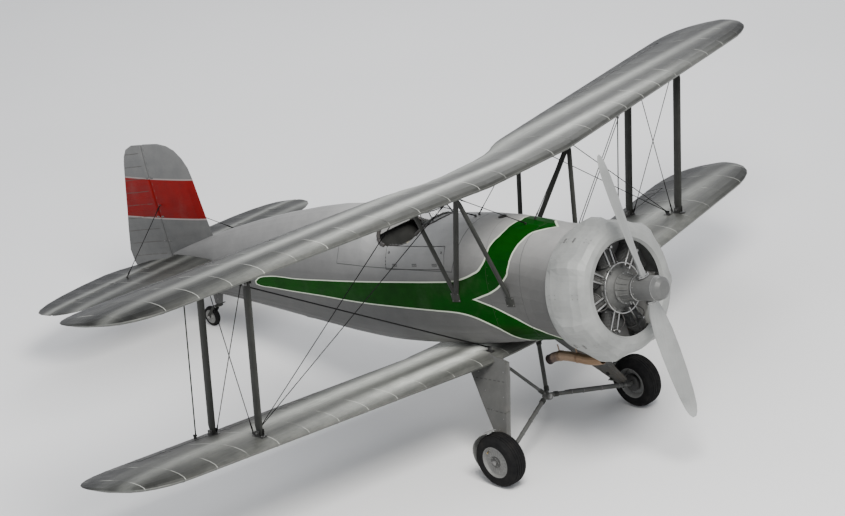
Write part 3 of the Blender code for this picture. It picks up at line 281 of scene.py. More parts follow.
class Batch:
    """Closed shapes gathered into one mesh, in the level airframe."""

    def __init__(self):
        self.v, self.f, self.i = [], [], []

    def add(self, verts, faces, m=0):
        o = len(self.v)
        self.v.extend(Vector(p) for p in verts)
        self.f.extend(tuple(o + k for k in q) for q in faces)
        self.i.extend([m] * len(faces))

    def loft(self, rings, closed=False, m=0, caps=True):
        n, k = len(rings[0]), len(rings)
        verts = [p for r in rings for p in r]
        faces = []
        for a in range(k if closed else k - 1):
            b = (a + 1) % k
            for c in range(n):
                d = (c + 1) % n
                faces.append((a * n + c, a * n + d, b * n + d, b * n + c))
        if not closed and caps:
            faces.append(tuple(range(n))[::-1])
            faces.append(tuple((k - 1) * n + c for c in range(n)))
        self.add(verts, faces, m)

    def rod(self, p0, p1, r, n=10, r1=None, m=0):
        p0, p1 = Vector(p0), Vector(p1)
        u, w = frame_of(p1 - p0)
        rings = []
        for p, rr in ((p0, r), (p1, r if r1 is None else r1)):
            rings.append([p + u * rr * math.cos(2 * math.pi * k / n) + w * rr * math.sin(2 * math.pi * k / n) for k in range(n)])
        self.loft(rings, m=m)

    def tube(self, pts, r, n=10, m=0, closed=False, flat=1.0, ref=None):
        """r is a number or one number per point; flat squeezes the section across ref."""
        pts = [Vector(p) for p in pts]
        k = len(pts)
        rs = r if isinstance(r, (list, tuple)) else [r] * k
        rings, u = [], None
        for i, p in enumerate(pts):
            a = pts[(i - 1) % k] if closed else pts[max(i - 1, 0)]
            b = pts[(i + 1) % k] if closed else pts[min(i + 1, k - 1)]
            d = (b - a).normalized()
            if ref is not None:
                u = Vector(ref) - d * d.dot(Vector(ref))
            elif u is None:
                u = frame_of(d)[0]
            else:
                u = u - d * d.dot(u)
            u.normalize()
            w = d.cross(u)
            rings.append([p + u * rs[i] * math.cos(2 * math.pi * c / n) + w * rs[i] * flat * math.sin(2 * math.pi * c / n) for c in range(n)])
        self.loft(rings, closed=closed, m=m)

    def turn(self, prof, centre, axis, n=32, m=0, start=0.0, open_ends=False):
        """Revolve (along, radius) points about an axis; a radius of 0 closes an end. Closed profile if neither end is on the axis."""
        c0, ax = Vector(centre), Vector(axis).normalized()
        u, w = frame_of(ax)
        on0, on1 = prof[0][1] < 1e-9, prof[-1][1] < 1e-9
        k = len(prof)
        verts, idx = [], []
        for a, r in prof:
            if r < 1e-9:
                verts.append(c0 + ax * a)
                idx.append([len(verts) - 1] * n)
            else:
                row = []
                for q in range(n):
                    t = start + 2 * math.pi * q / n
                    verts.append(c0 + ax * a + u * r * math.cos(t) + w * r * math.sin(t))
                    row.append(len(verts) - 1)
                idx.append(row)
        faces = []
        last = k if not (on0 or on1) else k - 1
        for a in range(last):
            b = (a + 1) % k
            for q in range(n):
                s = (q + 1) % n
                f = []
                for v in (idx[a][q], idx[a][s], idx[b][s], idx[b][q]):
                    if v not in f:
                        f.append(v)
                if len(f) > 2:
                    faces.append(tuple(f))
        if on0 != on1:
            row = idx[-1] if on0 else idx[0]
            faces.append(tuple(row))
        self.add(verts, faces, m)

    def box(self, c, size, axes=None, m=0, chamfer=0.0):
        """Block with optional chamfered edges along its third axis."""
        c = Vector(c)
        ax = [Vector(a).normalized() for a in (axes or ((1, 0, 0), (0, 1, 0), (0, 0, 1)))]
        hx, hy, hz = (s * 0.5 for s in size)
        b = min(chamfer, hx * 0.6, hy * 0.6, hz * 0.6)
        def ring(z, s):
            x, y = hx - s, hy - s
            q = b * 0.7
            pts = [(x - q, -y), (x, -y + q), (x, y - q), (x - q, y), (-x + q, y), (-x, y - q), (-x, -y + q), (-x + q, -y)] if b > 0 else \
                  [(x, -y), (x, y), (-x, y), (-x, -y)]
            return [c + ax[0] * p + ax[1] * q2 + ax[2] * z for p, q2 in pts]
        if b > 0:
            self.loft([ring(-hz, b), ring(-hz + b, 0), ring(hz - b, 0), ring(hz, b)], m=m)
        else:
            self.loft([ring(-hz, 0), ring(hz, 0)], m=m)

    def dome(self, p, nrm, r, h=None, n=8, m=0):
        """Screw or rivet head."""
        h = r * 0.5 if h is None else h
        self.turn([(-0.0008, 0.0), (-0.0008, r), (h * 0.45, r * 0.86), (h, r * 0.35), (h, 0.0)], p, nrm, n, m)

    def done(self, name, mats, body, slot=None, sharp=40):
        me = bpy.data.meshes.new(name)
        me.from_pydata([tuple(STAND @ p) for p in self.v], [], self.f)
        mats = mats if isinstance(mats, (list, tuple)) else [mats]
        for q in mats:
            me.materials.append(q.m if isinstance(q, Mat) else q)
        for p, k in zip(me.polygons, self.i):
            p.material_index = k
        bm = bmesh.new()
        bm.from_mesh(me)
        bmesh.ops.dissolve_degenerate(bm, edges=bm.edges, dist=1e-7)
        bmesh.ops.recalc_face_normals(bm, faces=bm.faces)
        bm.to_mesh(me)
        bm.free()
        me.validate()
        if sharp:
            me.shade_smooth()
            me.set_sharp_from_angle(angle=math.radians(sharp))
        ob = bpy.data.objects.new(name, me)
        bpy.context.collection.objects.link(ob)
        if body:
            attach(ob, body)
        return ob


# ------------------------------------------------------------------ reading the CAD surface
_cache = {}


def level_bm(node):
    if node not in _cache:
        bm = bmesh.new()
        bm.from_mesh(NODES[node].data)
        bm.transform(LEVEL)
        bmesh.ops.remove_doubles(bm, verts=bm.verts, dist=2e-6)
        bm.normal_update()
        _cache[node] = (bm, BVHTree.FromBMesh(bm))
    return _cache[node]


def nearest(node, p):
    loc, nrm, _, _ = level_bm(node)[1].find_nearest(Vector(p))
    return loc, nrm


def shoot(node, p, d):
    """First hit of a ray on a node: (place, normal) or None."""
    loc, nrm, _, _ = level_bm(node)[1].ray_cast(Vector(p), Vector(d).normalized())
    return (loc, nrm) if loc is not None else None


def slices(node, co, no):
    """Outlines where a plane cuts a node: lists of points, and whether each closes."""
    bm = level_bm(node)[0].copy()
    res = bmesh.ops.bisect_plane(bm, geom=bm.verts[:] + bm.edges[:] + bm.faces[:], plane_co=Vector(co), plane_no=Vector(no), dist=1e-6)
    edges = [e for e in res["geom_cut"] if isinstance(e, bmesh.types.BMEdge)]
    link = {}
    for e in edges:
        for a, b in ((e.verts[0], e.verts[1]), (e.verts[1], e.verts[0])):
            link.setdefault(a, []).append(b)
    seen, out = set(), []
    for start in sorted(link, key=lambda v: (len(link[v]) != 1, v.co.y, v.co.z)):
        if start in seen:
            continue
        path, cur, prev = [start], start, None
        seen.add(start)
        while True:
            nxt = [v for v in link[cur] if v is not prev and v not in seen]
            if not nxt:
                break
            prev, cur = cur, nxt[0]
            seen.add(cur)
            path.append(cur)
        closed = len(path) > 2 and start in link[cur]
        pts = [v.co.copy() for v in path]
        if len(pts) > 2:
            out.append((pts, closed))
    bm.free()
    return out


def strip_on(batch, node, pts, closed, across, width, lift=0.0006, sink=0.0012, m=0, ends=True):
    """A thin band laid on a node's surface along a path."""
    across = Vector(across).normalized()
    rings = []
    for p in pts:
        a, na = nearest(node, p - across * width * 0.5)
        b, nb = nearest(node, p + across * width * 0.5)
        c, nc = nearest(node, p)
        if na.dot(nc) < 0.6:
            na = nc
        if nb.dot(nc) < 0.6:
            nb = nc
        rings.append([a + na * lift * 0.35, c - across * width * 0.36 + nc * lift, c + across * width * 0.36 + nc * lift, b + nb * lift * 0.35,
                      b - nb * sink, a - na * sink])
    batch.loft(rings, closed=closed, m=m)


def resample(pts, step, closed=False):
    out = []
    k = len(pts)
    for i in range(k if closed else k - 1):
        a, b = Vector(pts[i]), Vector(pts[(i + 1) % k])
        n = max(1, int(math.ceil((b - a).length / step)))
        for j in range(n):
            out.append(a + (b - a) * (j / n))
    if not closed:
        out.append(Vector(pts[-1]))
    return out


def paint(nodes, mat):
    for n in ([nodes] if isinstance(nodes, str) else nodes):
        me = NODES[n].data
        me.materials.clear()
        me.materials.append(mat.m)


# ------------------------------------------------------------------ camera
EYE = Vector((-12.95353715, -14.15518659, 5.08655876))
RIGHT = Vector((0.69868777, -0.66456549, -0.26493038))
UPV = Vector((0.35319912, -0.00162339, 0.93554676))
AHEAD = Vector((0.62216218, 0.74722826, -0.2335897))
rot = STAND.to_3x3()
cm = Matrix.Identity(4)
for i, v in enumerate((RIGHT, UPV, -AHEAD)):
    w = (rot @ v).normalized()
    for j in range(3):
        cm[j][i] = w[j]
cm.translation = STAND @ EYE
cam_data = bpy.data.cameras.new("camera")
cam_data.sensor_fit = "HORIZONTAL"
cam_data.sensor_width = 36.0
cam_data.lens = 2808.17 / 845.0 * 36.0
cam_data.clip_end = 400.0
cam = bpy.data.objects.new("camera", cam_data)
bpy.context.collection.objects.link(cam)
cam.matrix_world = cm
bpy.context.scene.camera = cam

# ------------------------------------------------------------------ floor and light
fl = Mat("floor", rough=0.75, spec=0.25)
fl.color(fl.ramp(fl.noise(0.35, 2.0), [(0.3, (0.79, 0.79, 0.785)), (0.7, (0.81, 0.81, 0.805))]))
me = bpy.data.meshes.new("floor")
R = 140.0
me.from_pydata([(R * math.cos(2 * math.pi * k / 64), R * math.sin(2 * math.pi * k / 64), -0.0005) for k in range(64)], [], [tuple(range(64))])
me.materials.append(fl.m)
floor = bpy.data.objects.new("floor", me)
bpy.context.collection.objects.link(floor)

world = bpy.data.worlds.new("studio")
bpy.context.scene.world = world
world.use_nodes = True
bg = world.node_tree.nodes["Background"]
bg.inputs["Color"].default_value = (0.93, 0.95, 1.0, 1)
bg.inputs["Strength"].default_value = 0.92


def area(name, place, target, size, power, color=(1, 1, 1)):
    d = bpy.data.lights.new(name, "AREA")
    d.shape = "RECTANGLE"
    d.size, d.size_y = size
    d.energy = power
    d.color = color
    o = bpy.data.objects.new(name, d)
    bpy.context.collection.objects.link(o)
    o.location = place
    o.rotation_euler = (Vector(target) - Vector(place)).to_track_quat("-Z", "Y").to_euler()
    return o


area("key", (-3.5, -7.5, 11.0), (0, -0.2, 0.8), (5.0, 5.0), 2100.0, (1.0, 0.98, 0.95))
area("fill", (-11.0, 4.0, 5.0), (0, 0.3, 0.9), (6.0, 5.0), 220.0, (0.94, 0.97, 1.0))
area("rim", (8.0, 6.0, 8.0), (0, 0, 1.0), (5.0, 5.0), 350.0)

# ------------------------------------------------------------------ materials
SILVER = (0.40, 0.405, 0.40)


def wing_material(name, W, tail=False):
    """Doped fabric over ribs and two spars, in silver."""
    g = Mat(name, rough=0.42, metal=0.15, spec=0.10)
    ax = g.x.abs()
    if tail:
        le = ax.curve([(0.0, 3.80), (0.30, 3.852), (0.70, 3.935), (1.0, 4.012), (1.14, 4.066), (1.24, 4.14), (1.34, 4.315)])
        te = ax.curve([(0.12, 4.64), (0.22, 4.70), (0.345, 4.792), (0.46, 4.838), (0.70, 4.842), (0.95, 4.812), (1.12, 4.765), (1.24, 4.702), (1.34, 4.545)])
        f = (g.y - le) / (te - le)
        top = g.z - 0.25
        pitch, first = 0.22, 0.23
        # painted sheen: two bright bands of painted highlight along the span, with painted shade at the rear edge
        band = g.y.hump(4.165, 0.060) * 0.62 + g.y.hump(4.465, 0.062) * 0.80 + g.y.hump(3.93, 0.10) * 0.18 + g.y.step(4.62, 4.20) * 0.07 + 0.12
        band = band * (g.y.step(4.55, 4.72) * -0.65 + 1.0)
    else:
        y = (ax - SWEEP_ROOT).max(0.0) * math.tan(W[3]) + W[0]
        z = (ax - SWEEP_ROOT).max(0.0) * math.tan(W[4]) + W[1]
        f = (g.y - y) * (1.0 / W[2])
        zz = (g.z - z) * (1.0 / W[2])
        top = zz - f.curve([(0, 0.0), (0.1, 0.012), (0.35, 0.022), (0.7, 0.015), (1.0, 0.0)])
        pitch, first = 0.245, 0.49
        # painted sheen: two bright bands of painted highlight run along the span; they fade, narrow and draw together
        # outward; painted shade darkens the rear edge, and on the upper wing also the nose
        if W is UP:
            v = g.y - ax * 0.10
            floor = ax.curve([(0.0, 0.36), (1.4, 0.25), (2.3, 0.17), (2.9, 0.10)])
            a1 = ax.curve([(0.0, 1.75), (0.4, 1.70), (1.4, 1.25), (2.3, 0.42), (2.9, 0.14)])
            c2 = ax.curve([(0.0, 0.72), (0.4, 0.68), (1.4, 0.535), (2.3, 0.475), (3.1, 0.450)])
            w2 = ax.curve([(0.0, 0.22), (0.4, 0.19), (1.4, 0.115), (2.9, 0.070)])
            a2 = ax.curve([(0.0, 1.15), (0.4, 1.18), (1.4, 1.40), (2.3, 0.95), (2.9, 0.62)])
            band = floor + v.hump(0.185, 0.062) * a1 + v.hump(c2, w2) * a2 + v.hump(0.78, 0.16) * 0.14
            band = band * (v.step(0.68, 0.96) * -0.55 + 1.0) * (v.step(0.05, -0.06) * -0.50 + 1.0)
        else:
            v = g.y
            floor = ax.curve([(0.4, 0.42), (1.6, 0.26), (2.8, 0.16)])
            a1 = ax.curve([(0.4, 3.3), (0.7, 3.0), (1.6, 0.95), (2.4, 0.25), (2.9, 0.12)])
            w2 = ax.curve([(0.4, 0.17), (0.7, 0.16), (1.6, 0.140), (2.8, 0.095)])
            a2 = ax.curve([(0.4, 3.4), (0.7, 3.0), (1.6, 1.70), (2.8, 0.76)])
            c1 = ax.curve([(0.4, 0.700), (1.2, 0.735)])
            mid = ax.curve([(0.4, 0.02), (1.0, 0.10), (1.7, 0.19), (2.4, 0.19), (2.9, 0.06)])
            band = floor + v.hump(c1, 0.078) * a1 + v.hump(1.125, w2) * a2 + v.hump(0.97, 0.095) * mid + v.hump(1.34, 0.10) * 0.16
            band = band * (v.step(1.36, 1.60) * -0.65 + 1.0)
    up = top.step(-0.002, 0.004)
    # random streaks along the span, painted as part of the sheen
    streak = g.noise(1.0, 4.0, 0.65, stretch=(1.2, 26.0, 10.0))
    mott = g.noise(16.0, 5.0, 0.65)
    fine = g.noise(90.0, 3.0, 0.6)
    blot = g.noise(1.0, 5.0, 0.7, stretch=(7.0, 22.0, 22.0), seed=2.0)
    # the painted sheen and painted shade of the bands lie on the top surface only; the underside keeps an even tone
    tone = (band - 0.62) * up + 0.62
    tone = tone * ((streak - 0.5) * 0.50 + 1.0) * ((mott - 0.5) * 0.38 + 1.0) * ((fine - 0.5) * 0.20 + 1.0) * ((blot - 0.5) * 0.60 + 1.0)
    # rib tapes: pale short runs over the nose and over the spars
    rib = ((ax - first + pitch * 0.5) * (1.0 / pitch)).m("FRACT")
    d = (rib - 0.5).abs() * pitch
    tape = d.step(0.0105, 0.0085)
    stitch = d.step(0.0030, 0.0018)
    if not tail:
        show = (f.step(0.30, 0.22) * 0.75 + (f - 0.55).abs().step(0.16, 0.08) * 0.9 + (f - 0.88).abs().step(0.10, 0.05) * 0.6).min(1.0)
        broken = g.noise(5.0, 2.0, stretch=(3.0, 1.0, 1.0), seed=3.0).step(0.38, 0.56)
    else:
        show = (f - 0.5).abs().step(0.40, 0.30) * 0.45
        broken = g.noise(6.0, 2.0, seed=2.0).step(0.40, 0.58)
    pale = stitch * show * broken * (up * 0.75 + 0.25)
    tone = tone * (tape * 0.05 + 1.0)
    col = g.tint(g.ramp(mott, [(0.25, (0.182, 0.187, 0.174)), (0.75, (0.204, 0.208, 0.190))]), tone)
    col = g.mix(pale * 0.70, col, (0.60, 0.61, 0.56))
    dirt = g.noise(3.0, 5.0, 0.6, seed=5.0).step(0.52, 0.80) * 0.25
    col = g.mix(dirt, col, (0.09, 0.09, 0.083))
    g.color(col)
    g.rough((mott * 0.22 + 0.32 + dirt * 0.3))
    # fabric drawn down between the ribs, tape edges and weave
    sag = (rib * (2 * math.pi)).m("COSINE")
    weave = g.wave(g.x, 0.0024) * g.wave(g.y, 0.0024)
    g.bump(sag * -0.0016 + d.step(0.0110, 0.0095) * 0.0005 + weave * 0.00004 + mott * 0.0005)
    return g


def hull_material(name, stripe=True):
    """Painted skin of the body: pale grey, with painted shade on the flanks and belly."""
    g = Mat(name, rough=0.52, metal=0.0, spec=0.03)
    mott = g.noise(7.0, 5.0, 0.6)
    fine = g.noise(60.0, 3.0, 0.6)
    streak = g.noise(1.0, 4.0, 0.6, stretch=(6.0, 1.5, 14.0))
    ax = g.x.abs()
    belly = (g.z - g.y.curve([(-0.3, -0.20), (0.5, -0.16), (1.0, -0.10), (2.4, -0.02), (3.2, 0.03), (4.4, 0.06)])).step(0.035, -0.035)
    tone = ((mott - 0.5) * 0.14 + 1.0) * ((fine - 0.5) * 0.06 + 1.0) * ((streak - 0.5) * 0.14 + 1.0)
    # painted shade: dark flanks and belly, paler toward the deck, with painted highlight on the deck where the tone
    # passes 1; the pale part starts higher on the nose and the tail; a little painted light low under the front
    nose = g.z.step(0.14, 0.60) * 0.82 + 0.31
    front = g.z.step(0.04, 0.66) * 0.92 + 0.33 + g.z.step(-0.12, -0.34) * 0.20
    rear = g.z.step(0.02, 0.80) * 0.58 + 0.30
    shade = nose + (front - nose) * g.y.step(0.15, 0.55)
    shade = shade + (rear - shade) * g.y.step(1.50, 2.40)
    tone = tone * shade
    col = g.tint(g.ramp(mott, [(0.2, (0.290, 0.290, 0.284)), (0.8, (0.316, 0.314, 0.306))]), tone)
    lines = None

    def add(v):
        nonlocal lines
        lines = v if lines is None else lines.max(v)

    aft = g.y.step(-0.05, -0.04)
    # frames of the nose and seams of the panelling
    add(g.y.near(0.020, 0.0012, 0.0012))
    side = g.z.step(0.10, 0.11) * g.z.step(0.62, 0.60)
    # outline of the long cockpit panel, its seams over the deck, and the dashed joint in it
    slope = (g.y - 0.72) * 0.0345 + 0.243
    lower = (g.z - slope).near(0.0, 0.0022, 0.0015) * g.y.step(0.712, 0.722) * g.y.step(2.048, 2.040)
    add(lower)
    fr = (g.y - (g.z * -0.385 + 0.8155))
    add(fr.near(0.0, 0.0024, 0.0015) * g.z.step(0.240, 0.248))
    rr = (g.y - (g.z * -0.30 + 2.132))
    add(rr.near(0.0, 0.0022, 0.0015) * g.z.step(0.284, 0.292) * g.z.step(0.440, 0.425))
    md = (g.y - (g.z * -0.07 + 1.468))
    dash = (g.z * (1.0 / 0.024)).m("FRACT").step(0.42, 0.36)
    add(md.near(0.0, 0.0022, 0.0015) * g.z.step(0.262, 0.268) * g.z.step(0.452, 0.446) * dash)
    # joint between nose cowling panels along the side
    add((g.z - 0.02).near(0.0, 0.0011, 0.001) * g.y.step(0.36, 0.35) * g.y.step(0.018, 0.024) * 0.55)
    add(g.y.near(0.37, 0.0011, 0.001) * 0.5)
    # rows of fasteners beside the seams
    v = (g.z - 0.03).m("ARCTAN2", ax) * 0.42
    def dots(line, along, gap, size=0.0036):
        t = ((along * (1.0 / gap)).m("FRACT") - 0.5) * gap
        r = (t * t + line * line).m("SQRT")
        return r.step(size, size * 0.6)
    riv = dots(g.y - 0.036, v, 0.055).max(dots(g.y - 0.354, v, 0.060)).max(dots((g.z - slope) + 0.014, g.y, 0.06) * g.y.step(0.70, 0.74) * g.y.step(2.05, 2.03))
    grime = g.noise(2.5, 6.0, 0.65, seed=4.0).step(0.50, 0.82) * 0.30
    oil = g.noise(3.0, 5.0, 0.6, stretch=(1.0, 0.25, 1.6), seed=9.0).step(0.45, 0.75) * (g.z - g.y * 0.02).step(-0.12, -0.36) * g.y.step(2.8, 0.2) * 0.55
    if stripe:
        y = g.y
        r2 = math.sqrt(0.5)
        p, q = (v - y) * r2, (v + y) * r2
        e1 = [(3.22, .148), (3.16, .196), (3.03, .215), (2.6, .178), (2.2, .162), (1.8, .153), (1.3, .151), (.94, .152), (.76, .157), (.668, .168), (.512, .212),
              (.420, .258), (.375, .310), (.355, .362), (.335, .412), (.305, .452), (.276, .493), (.262, .535), (.252, .590), (.235, .66)]
        g1 = p.curve([((b - a) * r2, (a + b) * r2) for a, b in e1])
        e2 = [(.86, -.085), (.70, -.030), (.565, .012), (.46, .045), (.330, .090), (.234, .145), (.175, .200), (.146, .265), (.128, .330), (.108, .385), (.085, .437),
              (.060, .485), (.020, .555), (-.045, .612), (-.095, .652), (-.105, .66)]
        g2 = p.curve([((b - a) * r2, (a + b) * r2) for a, b in e2])
        # the lower branch, in the other diagonal
        e3 = [(.86, .060), (.70, .038), (.565, .012), (.450, -.026), (.334, -.068), (.230, -.112), (.124, -.160), (.04, -.203), (-.04, -.245), (-.12, -.300), (-.20, -.36)]
        g3 = q.curve([((a + b) * r2, (b - a) * r2) for a, b in e3])
        e4 = [(3.22, .118), (3.16, .088), (3.0, .066), (2.77, .036), (2.36, .000), (1.9, -.040), (1.38, -.066), (.94, -.090), (.80, -.098), (.70, -.110), (.60, -.134),
              (.495, -.172), (.40, -.212), (.338, -.246), (.27, -.300), (.20, -.36), (.12, -.44), (.02, -.54)]
        g4 = q.curve([((a + b) * r2, (b - a) * r2) for a, b in e4])
        ragged = (g.noise(26.0, 3.0, 0.6) - 0.5) * 0.003
        d1 = (g1 - q) * 0.80
        d2 = (q - g2) * 0.80
        d3 = (g3 - p) * 0.85
        d4 = (p - g4) * 0.85
        tip = (y * -1.0 + 3.215) * 0.9
        dist = d1.min(d4).min(d2.max(d3)).min(tip) + ragged * 0.35
        inside = dist.step(-0.0004, 0.0012)
        edge = dist.step(-0.0125, -0.0105) * dist.step(0.0012, -0.0004)
        green = g.ramp(mott, [(0.25, (0.0005, 0.0300, 0.0006)), (0.75, (0.0010, 0.0450, 0.0010))])
        # the green is darkened low on the belly as painted shade
        green = g.tint(green, ((streak - 0.5) * 0.25 + 1.0) * (belly * -0.35 + 1.0))
        col = g.mix(edge, col, (0.52, 0.57, 0.46))
        col = g.mix(inside, col, green)
    col = g.mix(grime * 0.5, col, (0.15, 0.147, 0.13))
    col = g.mix(oil, col, (0.06, 0.050, 0.035))
    col = g.mix(riv * 0.35, col, (0.12, 0.12, 0.115))
    col = g.mix(lines * 0.80, col, (0.05, 0.053, 0.05))
    g.color(col)
    g.rough(mott * 0.20 + 0.28 + grime * 0.3)
    weave = g.wave(g.y, 0.0028) * g.wave(g.z, 0.0028) * g.y.step(2.0, 2.1)
    # stringers under the fabric of the rear body
    string = (v * (1.0 / 0.095)).m("FRACT") * (2 * math.pi)
    ribs = string.m("COSINE") * g.y.step(2.05, 2.45)
    g.bump(lines * -0.0012 + riv * 0.0006 + weave * 0.00004 + ribs * 0.0008 + mott * 0.0010)
    return g


def tail_fin_material(name):
    """Fin and rudder: grey fabric, plain red band, rib lines aft of the hinge."""
    g = Mat(name, rough=0.50, metal=0.0, spec=0.06)
    mott = g.noise(9.0, 5.0, 0.6)
    fine = g.noise(70.0, 3.0, 0.6)
    weavy = (g.noise(5.0, 2.0, seed=6.0) - 0.5) * 0.020
    # painted shade: the fin is darker low down and paler toward its top
    tone = ((mott - 0.5) * 0.16 + 1.0) * ((fine - 0.5) * 0.08 + 1.0) * (g.z.step(0.35, 1.30) * 0.26 + 0.52)
    col = g.tint(g.ramp(mott, [(0.2, (0.180, 0.182, 0.180)), (0.8, (0.206, 0.206, 0.201))]), tone)
    lo = g.z - (g.y * 0.040 + 0.411)
    hi = g.z - (g.y * 0.052 + 0.689)
    band = lo.step(-0.0005, 0.0008) * hi.step(0.0005, -0.0008)
    edge = (lo.near(-0.006, 0.0052, 0.001)).max(hi.near(0.006, 0.0052, 0.001))
    red = g.tint(g.ramp(mott, [(0.2, (0.230, 0.004, 0.004)), (0.8, (0.285, 0.007, 0.006))]), tone)
    col = g.mix(edge * 0.50, col, (0.42, 0.34, 0.32))
    col = g.mix(band, col, red)
    # ribs of the rudder
    zr = g.z + (g.y - 4.5) * 0.055 + weavy * 0.5
    fr = ((zr - 0.335) * (1.0 / 0.108)).m("FRACT")
    d = (fr - 0.5).abs() * 0.108
    on = g.y.step(4.50, 4.53)
    brk = g.noise(4.0, 3.0, stretch=(1, 3.0, 8.0), seed=1.0).step(0.30, 0.50)
    line = d.step(0.0042, 0.0024) * on * brk
    col = g.mix(line * 0.75, col, (0.06, 0.055, 0.05))
    # stitches along the hinge
    dz = (g.z * (1.0 / 0.058)).m("FRACT").step(0.45, 0.36)
    hinge = g.y.near(4.432, 0.0024, 0.0014) * dz
    col = g.mix(hinge * 0.6, col, (0.07, 0.07, 0.065))
    grime = g.noise(3.0, 6.0, 0.65, seed=4.0).step(0.50, 0.82) * 0.25
    col = g.mix(grime, col, (0.11, 0.107, 0.098))
    g.color(col)
    g.rough(mott * 0.2 + 0.34)
    sag = (fr * (2 * math.pi)).m("COSINE")
    weave = g.wave(g.y, 0.0026) * g.wave(g.z, 0.0026)
    g.bump(sag * 0.0007 * 1.0 + weave * 0.00004 + mott * 0.0005 - line * 0.0005)
    return g


def metal_material(name, base, rough=0.38, metal=0.75, seams=None, stain=0.2, scale=9.0, spec=0.5):
    """Worn sheet metal with fine scratches and some grime."""
    g = Mat(name, rough=rough, metal=metal, spec=spec)
    mott = g.noise(scale, 5.0, 0.6)
    scr = g.noise(1.0, 3.0, 0.7, stretch=(220.0, 8.0, 220.0))
    tone = ((mott - 0.5) * 0.22 + 1.0) * ((scr - 0.5) * 0.10 + 1.0)
    col = g.tint(g.ramp(mott, [(0.2, tuple(c * 0.94 for c in base)), (0.8, tuple(min(1.0, c * 1.06) for c in base))]), tone)
    grime = g.noise(4.0, 6.0, 0.65, seed=4.0).step(0.48, 0.80) * stain
    col = g.mix(grime, col, tuple(c * 0.35 for c in base))
    g.color(col)
    g.rough(mott * 0.20 + (rough - 0.08) + grime * 0.4)
    g.bump(mott * 0.0008 + scr * 0.00008)
    return g


def plain_paint(name, base, rough=0.42, metal=0.2, chips=0.12, bare=(0.42, 0.42, 0.41), spec=0.45):
    """Painted metal with faint brush marks and small chips."""
    g = Mat(name, rough=rough, metal=metal, spec=spec)
    mott = g.noise(14.0, 5.0, 0.6)
    fine = g.noise(120.0, 3.0, 0.6)
    tone = ((mott - 0.5) * 0.30 + 1.0) * ((fine - 0.5) * 0.16 + 1.0)
    col = g.tint(g.ramp(mott, [(0.2, tuple(c * 0.92 for c in base)), (0.8, tuple(c * 1.10 for c in base))]), tone)
    chip = g.noise(55.0, 4.0, 0.7, seed=8.0).step(0.72, 0.76) * chips
    col = g.mix(chip, col, bare)
    g.color(col)
    g.rough(mott * 0.25 + (rough - 0.12))
    g.bump(mott * 0.0006 + fine * 0.00015 - chip * 0.0002)
    return g


m_upper = wing_material("fabric_upper_wing", UP)
m_lower = wing_material("fabric_lower_wing", LO)
m_tailplane = wing_material("fabric_tailplane", None, tail=True)
m_hull = hull_material("hull_skin")
m_fin = tail_fin_material("fin_fabric")
m_cowl = metal_material("cowl_metal", (0.262, 0.268, 0.258), rough=0.46, metal=0.15, stain=0.35, spec=0.12)
m_strut = plain_paint("strut_paint", (0.034, 0.035, 0.032), rough=0.50, metal=0.0, spec=0.08)
m_gear = plain_paint("gear_paint", (0.078, 0.079, 0.075), rough=0.50, metal=0.0, spec=0.08)
m_wire = metal_material("wire_steel", (0.005, 0.005, 0.005), rough=0.50, metal=0.1, stain=0.0, spec=0.08)
m_fit = metal_material("fitting_steel", (0.085, 0.085, 0.082), rough=0.38, metal=0.85, stain=0.2, scale=40.0)
m_bright = metal_material("bright_steel", (0.42, 0.42, 0.41), rough=0.28, metal=0.95, stain=0.15, scale=40.0)
def prop_material():
    """Bare metal blades with a darker turned hub and spinner."""
    g = Mat("prop_metal", rough=0.40, metal=0.35, spec=0.15)
    mott = g.noise(9.0, 5.0, 0.6)
    scr = g.noise(1.0, 3.0, 0.7, stretch=(200.0, 30.0, 6.0))
    r = (g.x * g.x + g.z * g.z).m("SQRT")
    blade = r.step(0.088, 0.104)
    col = g.mix(blade, (0.118, 0.119, 0.116), (0.290, 0.296, 0.288))
    turned = (r * (1.0 / 0.006)).m("FRACT").step(0.30, 0.70) * 0.05 * (blade * -1.0 + 1.0)
    rub = r.step(0.86, 0.99) * 0.22
    col = g.tint(col, ((mott - 0.5) * 0.26 + 1.0) * ((scr - 0.5) * 0.22 + 1.0) * (rub + 1.0) - turned)
    grime = g.noise(4.0, 6.0, 0.65, seed=4.0).step(0.50, 0.80) * 0.22
    col = g.mix(grime, col, (0.070, 0.069, 0.064))
    g.color(col)
    g.rough(mott * 0.22 + 0.28 + grime * 0.4)
    g.bump(mott * 0.0006 + scr * 0.00012)
    return g


m_prop = prop_material()
m_screw = metal_material("screw_steel", (0.20, 0.20, 0.195), rough=0.34, metal=0.85, stain=0.1, scale=60.0)

paint(["upper_centre_section", "upper_wing_left", "upper_wing_right", "upper_aileron_left", "upper_aileron_right"], m_upper)
paint(["lower_carry_through", "lower_wing_left", "lower_wing_right", "lower_aileron_left", "lower_aileron_right"], m_lower)
paint(["tailplane", "elevator"], m_tailplane)
paint(["fuselage", "cockpit_flap_left", "cockpit_flap_right", "tail_wheel_post"], m_hull)
paint(["fin", "rudder"], m_fin)
paint("engine_cowling", m_cowl)
paint(["strut_front_left", "strut_front_right", "strut_rear_left", "strut_rear_right", "cabane_left", "cabane_right", "tail_wheel_fork", "aileron_link_left", "aileron_link_right"], m_strut)
paint(["flying_wires_left", "flying_wires_right", "landing_wires_left", "landing_wires_right"], m_wire)
paint(["gear_vee", "half_axle_left", "half_axle_right"], m_gear)
paint("propeller", m_prop)

